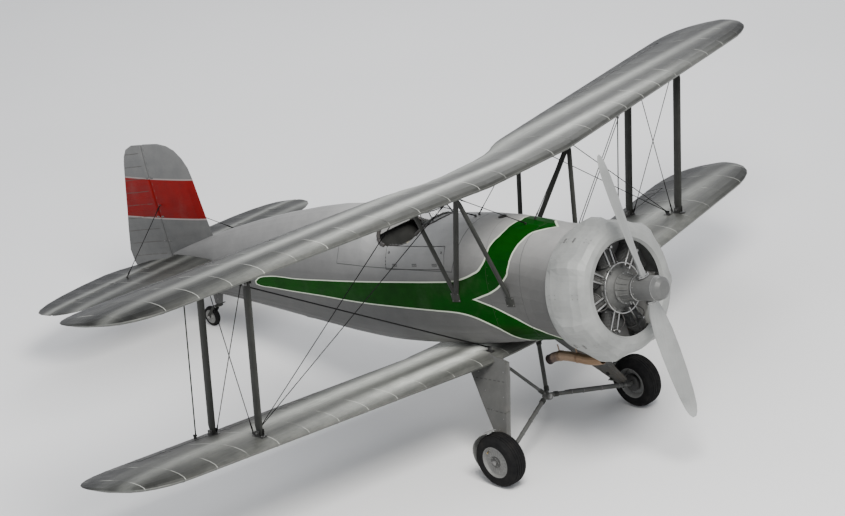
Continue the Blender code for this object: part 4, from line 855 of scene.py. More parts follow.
# ------------------------------------------------------------------ engine
m_cast = plain_paint("engine_cast", (0.150, 0.150, 0.145), rough=0.58, metal=0.05, chips=0.6, bare=(0.42, 0.42, 0.40), spec=0.12)
m_case = metal_material("crankcase", (0.105, 0.106, 0.102), rough=0.52, metal=0.10, stain=0.6, scale=34.0, spec=0.15)
m_lead = plain_paint("ignition_lead", (0.030, 0.028, 0.026), rough=0.6, metal=0.0, chips=0.0)
m_rocker = plain_paint("rocker_paint", (0.30, 0.30, 0.29), rough=0.38, metal=0.4, chips=0.4, bare=(0.4, 0.4, 0.39))
CYLS = [math.pi / 2 + 2 * math.pi * k / 7 for k in range(7)]
CY = -0.470
eng = Batch()
fwd = Vector((0, -1, 0))
for b in CYLS:
    R = Vector((math.cos(b), 0, math.sin(b)))
    T = Vector((-math.sin(b), 0, math.cos(b)))
    c = Vector((0, CY, 0))
    # barrel with its fins in one turned outline
    prof = [(0.135, 0.0), (0.135, 0.052), (0.176, 0.052)]
    a = 0.176
    for k in range(15):
        r = 0.0640 + 0.0015 * math.sin(k * 0.9)
        prof += [(a, 0.0505), (a, r), (a + 0.0028, r), (a + 0.0028, 0.0505)]
        a += 0.0100
    prof += [(0.330, 0.054), (0.330, 0.0)]
    eng.turn(prof, c, R, 26, 0)
    # head: deeper fins, a little wider across
    prof = [(0.326, 0.0), (0.326, 0.060)]
    a = 0.334
    for k in range(7):
        r = 0.0725 - 0.0022 * k * k * 0.22
        prof += [(a, 0.057), (a, r), (a + 0.0030, r), (a + 0.0030, 0.057 - 0.001 * k)]
        a += 0.0105
    prof += [(0.410, 0.044), (0.418, 0.026), (0.420, 0.0)]
    eng.turn(prof, c, R, 26, 0)
    for s in (-1, 1):
        # rocker box, pushrod tube and its nuts
        top = c + R * 0.418 + T * (s * 0.034) + fwd * 0.006
        ax = (T, (fwd * 0.96 + R * 0.10).normalized(), R)
        eng.box(top, (0.034, 0.076, 0.036), ax, 4, 0.007)
        eng.box(top + R * 0.020, (0.039, 0.082, 0.006), ax, 4, 0.0025)
        for q in (-1, 1):
            eng.dome(top + R * 0.0225 + fwd * (q * 0.033), R, 0.0042, 0.004, 6, 2)
        p0 = Vector((0, -0.548, 0)) + R * 0.152 + T * (s * 0.024)
        p1 = top + fwd * 0.036 - R * 0.008
        eng.rod(p0, p1, 0.0072, 12, m=2)
        eng.rod(p0 - R * 0.010, p0 + R * 0.012, 0.0115, 12, m=1)
        eng.rod(p1 - (p1 - p0).normalized() * 0.018, p1, 0.0105, 12, m=2)
    # plug in the front of the head, its lead to the harness ring
    pl = c + R * 0.300 + fwd * 0.052
    eng.rod(pl, pl + fwd * 0.020, 0.0150, 6, m=2)
    eng.rod(pl + fwd * 0.020, pl + fwd * 0.060, 0.0105, 12, m=2)
    q0 = pl + fwd * 0.052
    q2 = Vector((0, -0.590, 0)) + R * 0.176
    lead = []
    for k in range(9):
        f = k / 8
        p = q0.lerp(q2, f) + fwd * (0.028 * math.sin(math.pi * f)) + T * (0.016 * math.sin(math.pi * f))
        lead.append(p)
    eng.tube(lead, 0.0038, 8, 3)
    # hold-down flange and its nuts
    eng.turn([(0.164, 0.0), (0.164, 0.068), (0.172, 0.068), (0.172, 0.0)], c, R, 24, 1)
    for k in range(8):
        t = 2 * math.pi * (k + 0.5) / 8
        n0 = c + R * 0.172 + (T * math.cos(t) + fwd * math.sin(t)) * 0.060
        eng.rod(n0, n0 + R * 0.007, 0.0052, 6, m=2)
    # intake pipe up the back of the cylinder
    i0 = Vector((0, -0.365, 0)) + R * 0.150 + T * 0.045
    pipe = [i0, i0 + R * 0.05 + T * 0.004, i0 + R * 0.12 + T * 0.002 + fwd * 0.012, c + R * 0.325 + T * 0.045 - fwd * 0.040, c + R * 0.372 + T * 0.030 - fwd * 0.030]
    eng.tube(pipe, 0.0165, 12, 1)
    # baffle between the heads
    b2 = b + math.pi / 7
    R2 = Vector((math.cos(b2), 0, math.sin(b2)))
    T2 = Vector((-math.sin(b2), 0, math.cos(b2)))
    eng.box(Vector((0, CY + 0.030, 0)) + R2 * 0.330, (0.170, 0.0016, 0.170), (T2, fwd, R2), 0, 0.0)
# crankcase, nose case, harness ring
eng.turn([(-0.285, 0.0), (-0.285, 0.196), (-0.325, 0.198), (-0.335, 0.160), (-0.400, 0.158), (-0.405, 0.148), (-0.412, 0.158), (-0.528, 0.158),
          (-0.536, 0.166), (-0.548, 0.166), (-0.556, 0.150), (-0.570, 0.132), (-0.590, 0.116), (-0.606, 0.106), (-0.612, 0.112), (-0.622, 0.112),
          (-0.628, 0.100), (-0.655, 0.090), (-0.690, 0.083), (-0.716, 0.080), (-0.719, 0.060), (-0.719, 0.0)], (0, 0, 0), (0, 1, 0), 56, 1)
for k in range(14):
    t = 2 * math.pi * (k + 0.5) / 14
    d = Vector((math.cos(t), 0, math.sin(t)))
    eng.rod(Vector((0, -0.548, 0)) + d * 0.163, Vector((0, -0.556, 0)) + d * 0.163, 0.0056, 6, m=2)
    eng.rod(Vector((0, -0.622, 0)) + d * 0.1060, Vector((0, -0.629, 0)) + d * 0.1060, 0.0044, 6, m=2)
    rib0 = Vector((0, -0.629, 0)) + d * 0.098
    rib1 = Vector((0, -0.706, 0)) + d * 0.081
    eng.rod(rib0, rib1, 0.0050, 8, m=1)
ring = [Vector((0.176 * math.cos(2 * math.pi * k / 56), -0.590, 0.176 * math.sin(2 * math.pi * k / 56))) for k in range(56)]
eng.tube(ring, 0.0050, 10, 2, closed=True)
for k in range(7):
    t = CYLS[k] + math.pi / 7
    d = Vector((math.cos(t), 0, math.sin(t)))
    eng.box(Vector((0, -0.572, 0)) + d * 0.160, (0.010, 0.040, 0.026), (Vector((-d.z, 0, d.x)), (fwd + d * 0.5).normalized(), (d - fwd * 0.5).normalized()), 1, 0.002)
# exhaust collector behind the cylinders and a stub from each head
coll = [Vector((0.352 * math.cos(2 * math.pi * k / 56), -0.345, 0.352 * math.sin(2 * math.pi * k / 56))) for k in range(56)]
eng.tube(coll, 0.024, 12, 6, closed=True)
for b in CYLS:
    R = Vector((math.cos(b), 0, math.sin(b)))
    T = Vector((-math.sin(b), 0, math.cos(b)))
    eng.tube([Vector((0, CY + 0.035, 0)) + R * 0.372 - T * 0.030, Vector((0, CY + 0.075, 0)) + R * 0.374 - T * 0.032, Vector((0, -0.352, 0)) + R * 0.356 - T * 0.034],
             0.0165, 12, 6)


def exhaust_material():
    g = Mat("exhaust_metal", rough=0.52, metal=0.65, spec=0.4)
    mott = g.noise(18.0, 6.0, 0.65)
    fine = g.noise(90.0, 4.0, 0.6)
    # heat colours along the pipe; its last few centimetres go near black, partly soot and partly painted shade standing
    # for the open mouth
    t = (g.y.curve([(-0.50, 0.10), (-0.25, 0.35), (0.0, 0.65), (0.085, 0.80), (0.110, 1.0), (0.14, 1.0)]) + (mott - 0.5) * 0.5).clamp()
    col = g.ramp(t, [(0.0, (0.130, 0.078, 0.045)), (0.35, (0.21, 0.135, 0.080)), (0.6, (0.24, 0.170, 0.115)), (0.8, (0.10, 0.072, 0.060)), (1.0, (0.012, 0.006, 0.005))])
    col = g.tint(col, (fine - 0.5) * 0.35 + 1.0)
    g.color(col)
    g.rough(mott * 0.25 + 0.38)
    g.bump(mott * 0.0014 + fine * 0.0002)
    return g


m_exhaust = exhaust_material()
e_ob = eng.done("engine_detail", [m_cast, m_case, m_bright, m_lead, m_rocker, m_wire, m_exhaust], "airframe", "engine_paint", 32)
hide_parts("engine")
paint("exhaust_pipe", m_exhaust)

ex = Batch()
# rolled lip, clamp bands and hanger of the tail pipe
EXP = [Vector(p) for p in ((-0.150, -0.365, -0.478), (-0.160, -0.300, -0.484), (-0.168, -0.230, -0.478), (-0.172, -0.150, -0.462),
                           (-0.174, -0.060, -0.452), (-0.175, 0.020, -0.450), (-0.176, 0.090, -0.463), (-0.177, 0.138, -0.482))]


def hoop(batch, c, d, r, wire, n=28, m=0, k=8):
    u, w = frame_of(d)
    batch.tube([Vector(c) + u * r * math.cos(2 * math.pi * q / n) + w * r * math.sin(2 * math.pi * q / n) for q in range(n)], wire, k, m, closed=True)


hoop(ex, EXP[-1], EXP[-1] - EXP[-2], 0.0345, 0.0030)
for i in (3, 5):
    d = EXP[i + 1] - EXP[i - 1]
    u, w = frame_of(d)
    for off in (-0.004, 0.004):
        hoop(ex, EXP[i] + d.normalized() * off, d, 0.0372, 0.0020)
    ex.rod(EXP[i] + Vector((0, 0, 0.036)), EXP[i] + Vector((0.0, 0, 0.085)), 0.005, 8)
    ex.rod(EXP[i] + Vector((0.030, -0.010, 0.024)), EXP[i] + Vector((0.030, 0.012, 0.024)), 0.004, 6)
ex.done("exhaust_clamps", m_exhaust, "airframe", "exhaust_metal", 40)

# ------------------------------------------------------------------ cowling fittings
cw = Batch()
for k in range(7):
    t = CYLS[k] + math.pi / 7
    for y, r in ((-0.335, None), (-0.395, None), (-0.560, None), (-0.600, None)):
        for dt in (-0.030, 0.030):
            d = Vector((math.cos(t + dt), 0, math.sin(t + dt)))
            h = shoot("engine_cowling", Vector((0, y, 0)) + d * 0.7, -d)
            if h:
                cw.dome(h[0], h[1], 0.0050, 0.0018, 8)
for k in range(42):
    t = 2 * math.pi * (k + 0.5) / 42
    d = Vector((math.cos(t), 0, math.sin(t)))
    h = shoot("engine_cowling", Vector((0, -0.303, 0)) + d * 0.7, -d)
    if h:
        cw.dome(h[0], h[1], 0.0042, 0.0015, 8)
# over-centre latches on the joints of the ring
for k in (0, 2, 5):
    t = CYLS[k] + math.pi / 7
    d = Vector((math.cos(t), 0, math.sin(t)))
    T = Vector((-math.sin(t), 0, math.cos(t)))
    for y in (-0.37, -0.46):
        h = shoot("engine_cowling", Vector((0, y, 0)) + d * 0.7, -d)
        if h:
            cw.box(h[0] + h[1] * 0.003, (0.040, 0.014, 0.006), (T, (0, 1, 0), h[1]), 0, 0.0018)
            cw.rod(h[0] + h[1] * 0.007 - T * 0.014, h[0] + h[1] * 0.007 + T * 0.016, 0.0022, 8)
cw.done("cowling_fasteners", m_screw, "airframe", "metal_panel", 40)

seam = Batch()
for k in (0, 2, 5):
    t = CYLS[k] + math.pi / 7
    d = Vector((math.cos(t), 0, math.sin(t)))
    T = Vector((-math.sin(t), 0, math.cos(t)))
    pts = []
    for j in range(15):
        y = -0.288 - 0.335 * j / 14
        h = shoot("engine_cowling", Vector((0, y, 0)) + d * 0.7, -d)
        if h:
            pts.append(h[0])
    if len(pts) > 3:
        strip_on(seam, "engine_cowling", pts, False, T, 0.026, 0.0012, 0.0010)
seam.done("cowling_joint_straps", m_cowl, "airframe", "metal_panel", 40)

# ------------------------------------------------------------------ propeller fittings (they turn with it)
pr = Batch()
hoop(pr, (0, -0.7455, 0), (0, 1, 0), 0.0882, 0.0022, 40)
hoop(pr, (0, -0.9285, 0), (0, 1, 0), 0.0872, 0.0014, 40)
for k in range(12):
    t = 2 * math.pi * (k + 0.25) / 12
    d = Vector((math.cos(t), 0, math.sin(t)))
    h = shoot("propeller", Vector((0, -0.762, 0)) + d * 0.4, -d)
    if h and (h[0] - Vector((0, -0.762, 0))).length < 0.10:
        pr.dome(h[0], h[1], 0.0045, 0.0018, 8)
tilt = Matrix.Rotation(math.radians(-7.3), 3, "Y")
for s in (1, -1):
    out = tilt @ Vector((0, 0, s))
    for a, r, w in ((0.094, 0.043, 0.0045), (0.106, 0.0425, 0.0035)):
        n = 30
        u, v = tilt @ Vector((1, 0, 0)), Vector((0, 1, 0))
        pr.tube([Vector((0, -0.822, 0)) + out * a + u * (r * math.cos(2 * math.pi * k / n)) + v * (r * 0.86 * math.sin(2 * math.pi * k / n)) for k in range(n)],
                w, 8, closed=True)
pr.done("propeller_clamps", m_bright, "propeller", "prop_metal", 40)

# ------------------------------------------------------------------ rib tapes of the wings
def tapes(node, body, xs, mat, slot, width=0.021):
    b = Batch()
    for x in xs:
        for pts, closed in slices(node, (x, 0, 0), (1, 0, 0)):
            if len(pts) < 6:
                continue
            span = max(p.y for p in pts) - min(p.y for p in pts)
            if span < 0.05:
                continue
            strip_on(b, node, resample(pts, 0.030, closed), closed, (1, 0, 0), width, 0.0007, 0.0010)
    if b.v:
        b.done("tapes_" + node, mat, body, slot, 50)


for side, sg in (("left", 1), ("right", -1)):
    tapes("upper_wing_" + side, "airframe", [sg * x for x in RIBS if x > 0.68 and x < 3.05], m_upper, "doped_fabric")
    tapes("lower_wing_" + side, "airframe", [sg * x for x in RIBS if x > 0.36 and x < 3.05], m_lower, "doped_fabric")
    tapes("upper_aileron_" + side, "upper_aileron_" + side, [sg * x for x in RIBS if 1.43 < x < 2.77], m_upper, "doped_fabric")
    tapes("lower_aileron_" + side, "lower_aileron_" + side, [sg * x for x in RIBS if 1.43 < x < 2.77], m_lower, "doped_fabric")
tapes("upper_centre_section", "airframe", [-0.49, -0.245, 0.001, 0.245, 0.49], m_upper, "doped_fabric")
tapes("tailplane", "airframe", [s * x for s in (-1, 1) for x in (0.34, 0.56, 0.78, 1.0)], m_tailplane, "doped_fabric", 0.017)
tapes("elevator", "elevator", [s * x for s in (-1, 1) for x in (0.34, 0.56, 0.78, 1.0)], m_tailplane, "doped_fabric", 0.017)

# rudder ribs: slices by level planes
rb = Batch()
for z in (0.335, 0.443, 0.551, 0.659, 0.767, 0.875, 0.983, 1.091):
    for pts, closed in slices("rudder", (0, 4.5, z), (0, 0.055, 1.0)):
        if len(pts) > 5:
            strip_on(rb, "rudder", resample(pts, 0.030, closed), closed, (0, 0, 1), 0.014, 0.0006, 0.0010)
rb.done("tapes_rudder", m_fin, "rudder", "hull_paint", 50)

# ------------------------------------------------------------------ strut ends
st = Batch()
for sg in (-1, 1):
    x = sg * STRUT_X
    yl, zl = wing_line(x, LO)
    yu, zu = wing_line(x, UP)
    for offl, offu in ((0.16, 0.180), (0.696, 0.695)):
        lowp = shoot("lower_wing_left" if sg > 0 else "lower_wing_right", (x, yl + offl, zl + 0.4), (0, 0, -1))
        topp = shoot("upper_wing_left" if sg > 0 else "upper_wing_right", (x, yu + offu, zu - 0.4), (0, 0, 1))
        if not lowp or not topp:
            continue
        a, b = lowp[0], topp[0]
        d = (b - a).normalized()
        for p, q, nrm in ((a, d, lowp[1]), (b, -d, topp[1])):
            # base plate, two ears and the pin
            st.box(p + nrm * 0.0020, (0.052, 0.112, 0.0050), ((1, 0, 0), Vector((0, 1, 0)) - nrm * nrm.y, nrm), 0, 0.0018)
            for s in (-1, 1):
                st.box(p + q * 0.024 + Vector((s * 0.0225, 0, 0)), (0.0045, 0.048, 0.050), ((1, 0, 0), (0, 1, 0), q), 0, 0.0015)
                for w in (-1, 1):
                    st.dome(p + nrm * 0.0045 + Vector((s * 0.017, w * 0.044, 0)), nrm, 0.0055, 0.004, 6, 1)
            st.rod(p + q * 0.030 - Vector((0.029, 0, 0)), p + q * 0.030 + Vector((0.029, 0, 0)), 0.0055, 12, m=1)
            for s in (-1, 1):
                st.rod(p + q * 0.030 + Vector((s * 0.0255, 0, 0)), p + q * 0.030 + Vector((s * 0.032, 0, 0)), 0.0090, 6, m=1)
st.done("strut_fittings", [m_fit, m_screw], "airframe", "strut_paint", 38)

# cuffs where the cabane struts meet the centre section and the body
cb = Batch()
for sg in (-1, 1):
    for y in (0.142 + math.tan(UP[3]) * 0.183, 0.666 + math.tan(UP[3]) * 0.183):
        h = shoot("upper_centre_section", (sg * 0.583, y, 0.5), (0, 0, 1))
        if h:
            cb.box(h[0] + h[1] * 0.002, (0.060, 0.094, 0.0045), ((1, 0, 0), Vector((0, 1, 0)) - h[1] * h[1].y, h[1]), 0, 0.0016)
            for a in (-1, 1):
                for w in (-1, 1):
                    cb.dome(h[0] + h[1] * 0.0042 + Vector((a * 0.021, w * 0.036, 0)), h[1], 0.0052, 0.0038, 6, 1)
    for y, z, hx in ((0.733, 0.056, 0.362), (0.165, 0.030, 0.362)):
        h = shoot("fuselage", (sg * 0.7, y, z), (-sg, 0, 0))
        if h:
            n = h[1]
            u = Vector((0, 1, 0)) - n * n.y
            w = n.cross(u)
            cb.box(h[0] + n * 0.0018, (0.085, 0.070, 0.0042), (u, w, n), 0, 0.0016)
            for a in (-1, 1):
                for c in (-1, 1):
                    cb.dome(h[0] + n * 0.0040 + u.normalized() * (a * 0.033) + w.normalized() * (c * 0.026), n, 0.0050, 0.0036, 6, 1)
cb.done("cabane_fittings", [m_strut, m_fit], "airframe", "strut_paint", 38)

# ------------------------------------------------------------------ bracing wires
wr = Batch()


def wire(p0, p1, r=0.0030, ends=True, lug0=None, lug1=None):
    p0, p1 = Vector(p0), Vector(p1)
    d = (p1 - p0).normalized()
    wr.rod(p0, p1, r, 8)
    if ends:
        for p, q in ((p0, d), (p1, -d)):
            wr.rod(p + q * 0.004, p + q * 0.030, r * 1.5, 8)
            wr.rod(p + q * 0.030, p + q * 0.040, r * 2.2, 6)
            wr.rod(p + q * 0.040, p + q * 0.085, r * 1.7, 8, r * 1.05)
    for p, q in ((p0, lug0), (p1, lug1)):
        if q is not None:
            n = Vector(q).normalized()
            wr.box(p - n * 0.006, (0.007, 0.020, 0.026), ((1, 0, 0), Vector((0, 1, 0)), n), 1, 0.0015)
            wr.rod(p - Vector((0.009, 0, 0)), p + Vector((0.009, 0, 0)), 0.0042, 8, m=1)


for sg in (-1, 1):
    side = "left" if sg > 0 else "right"
    x = sg * STRUT_X
    yl, zl = wing_line(x, LO)
    yu, zu = wing_line(x, UP)
    f0 = shoot("lower_wing_" + side, (x - sg * 0.0, yl + 0.16 + 0.062, zl + 0.4), (0, 0, -1))[0]
    r0 = shoot("lower_wing_" + side, (x, yl + 0.696 - 0.052, zl + 0.4), (0, 0, -1))[0]
    f1 = shoot("upper_wing_" + side, (x, yu + 0.180 + 0.060, zu - 0.4), (0, 0, 1))[0]
    r1 = shoot("upper_wing_" + side, (x, yu + 0.695 - 0.060, zu - 0.4), (0, 0, 1))[0]
    up = Vector((0, 0, 1))
    wire(f0 + up * 0.014, r1 - up * 0.014, 0.0032, True, up, -up)
    wire(r0 + up * 0.014, f1 - up * 0.014, 0.0032, True, up, -up)
    # cabane to the deck
    for top, deck in (((0.560, 0.190, 0.0), (0.050, 0.148)), ((0.560, 0.700, 0.0), (0.020, 0.677))):
        t = shoot("upper_centre_section", (sg * top[0], top[1], 0.5), (0, 0, 1))
        k = shoot("fuselage", (sg * deck[0], deck[1], 1.2), (0, 0, -1))
        if t and k:
            wire(t[0] - up * 0.010, k[0] + k[1] * 0.010, 0.0028, True, -up, k[1])
    # fin to tailplane
    a = shoot("fin", (sg * 0.5, 4.405, 0.700), (-sg, 0, 0))
    b = shoot("tailplane", (sg * 0.575, 4.360, 0.6), (0, 0, -1))
    if a and b:
        wire(a[0] + a[1] * 0.010, b[0] + up * 0.010, 0.0030, True, a[1], up)
wr.done("bracing_wires", [m_wire, m_fit], "airframe", "wire_steel", 38)

# lugs that carry the CAD wires
lg = Batch()
for sg in (-1, 1):
    side = "left" if sg > 0 else "right"
    yl, zl = wing_line(STRUT_X, LO)
    yu, zu = wing_line(STRUT_X, UP)
    # flying wires: upper end by the rear strut, lower end by the wing root
    for p, node, d in (((sg * (STRUT_X - 0.055), yu + 0.620, zu - 0.052), "upper_wing_" + side, (0, 0, 1)),
                       ((sg * 0.310, LO[0] + 0.095, LO[1] + 0.078), "lower_carry_through", (0, 0, -1)),
                       ((sg * (STRUT_X - 0.055), yl + 0.220, zl + 0.086), "lower_wing_" + side, (0, 0, -1)),
                       ((sg * 0.650, 0.142 + 0.093, UP[1] - 0.044), "upper_centre_section", (0, 0, 1)),
                       ((sg * 0.650, 0.666, UP[1] - 0.044), "upper_centre_section", (0, 0, 1))):
        h = shoot(node, Vector(p) - Vector(d) * 0.02, d)
        if h is None:
            h = (nearest(node, p)[0], -Vector(d))
        p = Vector(p)
        e = h[0]
        ln = (e - p).length
        if ln < 0.15:
            mid = (e + p) * 0.5
            lg.box(mid, (0.010, 0.034, max(0.012, ln + 0.012)), ((1, 0, 0), (0, 1, 0), (e - p).normalized()), 0, 0.002)
            lg.box(e + h[1] * 0.0015, (0.040, 0.060, 0.004), ((1, 0, 0), Vector((0, 1, 0)) - h[1] * h[1].y, h[1]), 0, 0.0014)
            for w in (-1, 1):
                lg.dome(e + h[1] * 0.003 + Vector((0, w * 0.022, 0)), h[1], 0.0050, 0.0035, 6)
lg.done("wire_lugs", m_fit, "airframe", "wire_steel", 38)

# ------------------------------------------------------------------ main gear
def rubber_material():
    g = Mat("tyre_rubber", rough=0.80, spec=0.08)
    mott = g.noise(22.0, 5.0, 0.6)
    fine = g.noise(260.0, 3.0, 0.6)
    dust = g.noise(9.0, 5.0, 0.65, seed=2.0).step(0.45, 0.75)
    col = g.ramp(mott, [(0.2, (0.006, 0.006, 0.0065)), (0.8, (0.012, 0.012, 0.012))])
    col = g.mix(dust * 0.30, col, (0.034, 0.031, 0.027))
    g.color(col)
    g.rough(mott * 0.2 + 0.66)
    g.bump(mott * 0.0004 + fine * 0.00008)
    return g


def leg_material():
    """Painted leg fairing with its two dark dashed seams."""
    g = Mat("leg_paint", rough=0.50, metal=0.0, spec=0.08)
    mott = g.noise(9.0, 5.0, 0.6)
    fine = g.noise(80.0, 3.0, 0.6)
    streak = g.noise(1.0, 4.0, 0.6, stretch=(9.0, 14.0, 2.0))
    tone = ((mott - 0.5) * 0.20 + 1.0) * ((fine - 0.5) * 0.08 + 1.0) * ((streak - 0.5) * 0.20 + 1.0)
    col = g.tint(g.ramp(mott, [(0.2, (0.082, 0.083, 0.080)), (0.8, (0.098, 0.098, 0.094))]), tone)
    dash = (g.y * (1.0 / 0.046)).m("FRACT").step(0.62, 0.54)
    f1 = (g.z - (g.y * 0.0825 - 0.5851)).near(0.0, 0.0026, 0.0014)
    f2 = (g.z - (g.y * 0.1378 - 0.8014)).near(0.0, 0.0026, 0.0014)
    lines = f1.max(f2) * dash
    col = g.mix(lines * 0.8, col, (0.045, 0.045, 0.043))
    mud = g.noise(6.0, 6.0, 0.7, seed=3.0).step(0.42, 0.75) * g.z.step(-0.62, -1.0) * 0.65
    col = g.mix(mud, col, (0.13, 0.11, 0.085))
    g.color(col)
    g.rough(mott * 0.2 + 0.34 + mud * 0.3)
    g.bump(mott * 0.0009 - lines * 0.0006)
    return g


m_rubber = rubber_material()
m_leg = leg_material()
m_disc = metal_material("wheel_disc_metal", (0.180, 0.180, 0.174), rough=0.44, metal=0.10, stain=0.75, scale=26.0, spec=0.15)
m_hub = plain_paint("hub_paint", (0.050, 0.050, 0.048), rough=0.42, metal=0.4, chips=0.5)
m_brass = metal_material("brass", (0.42, 0.30, 0.12), rough=0.35, metal=0.9, stain=0.2, scale=60.0)
paint(["gear_leg_left", "gear_leg_right"], m_leg)
paint(["tyre_left", "tyre_right"], m_rubber)

WHEEL_X, WHEEL_Y, WHEEL_Z = 0.736, 0.287, -1.018
for side, sg in (("left", 1), ("right", -1)):
    c = Vector((sg * WHEEL_X, WHEEL_Y, WHEEL_Z))
    axis = Vector((sg, 0, 0))
    body = "wheel_" + side
    ty = Batch()
    half = [(0.0, 0.1928), (0.0030, 0.1928), (0.0036, 0.1962), (0.0180, 0.1960), (0.0186, 0.1920), (0.0222, 0.1918), (0.0230, 0.1956), (0.0370, 0.1940),
            (0.0378, 0.1900), (0.0410, 0.1895), (0.0420, 0.1926), (0.0540, 0.1866), (0.0565, 0.1836), (0.0600, 0.1822), (0.0650, 0.1770), (0.0680, 0.1752),
            (0.0715, 0.1680), (0.0742, 0.1560), (0.0750, 0.1440), (0.0741, 0.1395), (0.0736, 0.1360), (0.0715, 0.1290), (0.0680, 0.1225), (0.0665, 0.1200), (0.0630, 0.1168)]
    prof = [(-a, r) for a, r in half[::-1][:-1]] + half + [(0.050, 0.1130), (-0.050, 0.1130)]
    ty.turn(prof, c, axis, 112, 0)
    # small blocks along the shoulders
    for k in range(72):
        t = 2 * math.pi * k / 72
        d = Vector((0, math.cos(t), math.sin(t)))
        w = Vector((0, -math.sin(t), math.cos(t)))
        for s in (-1, 1):
            q = c + axis * (s * 0.0562) + d * 0.1838
            ty.box(q, (0.0090, 0.0078, 0.0034), ((axis * s * 0.72 - d * 0.69), w, (d * 0.72 + axis * s * 0.69)), 0, 0.0010)
    # valve stem
    for s in (1,):
        d = Vector((0, math.cos(0.9), math.sin(0.9)))
        ty.rod(c + axis * 0.036 + d * 0.099, c + axis * 0.058 + d * 0.090, 0.0040, 10, m=1)
        ty.rod(c + axis * 0.056 + d * 0.091, c + axis * 0.066 + d * 0.0866, 0.0052, 10, m=1)
    ob = ty.done("tyre_detail_" + side, [m_rubber, m_brass], body, "tyre_rubber", 32)
    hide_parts("tyre_" + side)

    wh = Batch()
    # rim with rolled flanges and two dished covers
    wh.turn([(-0.060, 0.0195), (-0.060, 0.0340), (-0.052, 0.0400), (-0.040, 0.0470), (-0.034, 0.0520), (-0.032, 0.0930), (-0.040, 0.0960), (-0.0560, 0.1080), (-0.0640, 0.1120),
             (-0.0670, 0.1150), (-0.0660, 0.1185), (-0.0630, 0.1180), (-0.0600, 0.1150), (-0.0500, 0.1118), (0.0500, 0.1118), (0.0600, 0.1150), (0.0630, 0.1180), (0.0660, 0.1185),
             (0.0670, 0.1150), (0.0640, 0.1118), (0.0560, 0.1085), (0.0500, 0.1060), (0.0470, 0.1020), (0.0460, 0.0960), (0.0520, 0.0500), (0.0560, 0.0420), (0.0620, 0.0360), (0.0620, 0.0195)],
            c, axis, 88, 0)
    for k in range(20):
        t = 2 * math.pi * (k + 0.5) / 20
        d = Vector((0, math.cos(t), math.sin(t)))
        w = Vector((0, -math.sin(t), math.cos(t)))
        # pressed ribs of the cover
        wh.tube([c + axis * 0.0545 + d * 0.0490, c + axis * 0.0508 + d * 0.0700, c + axis * 0.0478 + d * 0.0900], [0.0028, 0.0024, 0.0018], 8, 0)
        p = c + axis * 0.0468 + d * 0.0975
        wh.dome(p, axis, 0.0040, 0.0022, 8, 2)
        p = c - axis * 0.0335 + d * 0.0860
        wh.dome(p, -axis, 0.0040, 0.0022, 8, 2)
    # hub cap, its bolts and the axle nut
    wh.turn([(0.0545, 0.0), (0.0545, 0.0440), (0.0590, 0.0440), (0.0610, 0.0420), (0.0625, 0.0300), (0.0650, 0.0285), (0.0650, 0.0)], c + axis * 0.0008, axis, 40, 1)
    for k in range(6):
        t = 2 * math.pi * k / 6
        d = Vector((0, math.cos(t), math.sin(t)))
        wh.rod(c + axis * 0.060 + d * 0.036, c + axis * 0.0655 + d * 0.036, 0.0045, 6, m=2)
    wh.turn([(0.0640, 0.0), (0.0640, 0.0210), (0.0730, 0.0200), (0.0760, 0.0140), (0.0765, 0.0)], c, axis, 6, 2)
    # brake drum on the inner face
    wh.turn([(-0.0620, 0.0200), (-0.0620, 0.0560), (-0.0600, 0.0600), (-0.0520, 0.0620), (-0.0340, 0.0630), (-0.0330, 0.0200)], c, axis, 56, 1)
    for k in range(5):
        wh.turn([(-0.0360 - 0.0046 * k, 0.0610), (-0.0360 - 0.0046 * k, 0.0665), (-0.0380 - 0.0046 * k, 0.0665), (-0.0380 - 0.0046 * k, 0.0610)], c, axis, 56, 1)
    ob = wh.done("wheel_detail_" + side, [m_disc, m_hub, m_screw], body, "wheel_disc", 32)
    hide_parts("wheel_" + side)

    # fittings of the leg: axle end plate, shock strut sleeve, brake line
    ge = Batch()
    n = Vector((1, 0, 0.478 * sg)).normalized() * sg
    hubp = Vector((sg * (WHEEL_X - 0.075 - 0.012), WHEEL_Y, WHEEL_Z))
    inner = Vector((sg * 0.030, 0.464, -0.849))
    d = (inner - hubp).normalized()
    ge.rod(hubp + d * 0.030, hubp + d * 0.055, 0.0215, 20, m=1)
    ge.rod(inner - d * 0.060, inner - d * 0.030, 0.0205, 16, m=1)
    for k in range(3):
        ge.rod(hubp + d * (0.034 + 0.008 * k), hubp + d * (0.037 + 0.008 * k), 0.0235, 20, m=2)
    # brake line clipped to the axle
    line = [hubp + d * (0.04 + 0.05 * k) + Vector((0, 0.0, 0.0185)) for k in range(11)]
    ge.tube(line, 0.0028, 8, 3)
    for k in (1, 4, 7, 9):
        p = line[k] - Vector((0, 0, 0.0185))
        hoop(ge, p, d, 0.0175, 0.0016, 18, 2, 6)
    # bolts of the leg fairing
    node = "gear_leg_" + side
    for y, z in ((0.372, -0.50), (0.352, -0.66), (0.338, -0.80), (0.318, -0.93), (0.665, -0.50), (0.582, -0.62), (0.490, -0.745), (0.405, -0.87)):
        for s in (-1, 1):
            x0 = sg * (0.300 + 0.478 * (-0.300 - z))
            yy = y + (0.016 if y < 0.40 and z > -0.86 else -0.020)
            h = shoot(node, Vector((x0, yy, z)) + n * s * 0.2, -n * s)
            if h:
                ge.dome(h[0], h[1], 0.0050, 0.0020, 8, 2)
    ge.done("gear_fittings_" + side, [m_leg, m_strut, m_screw, m_lead], "airframe", "strut_paint", 35)

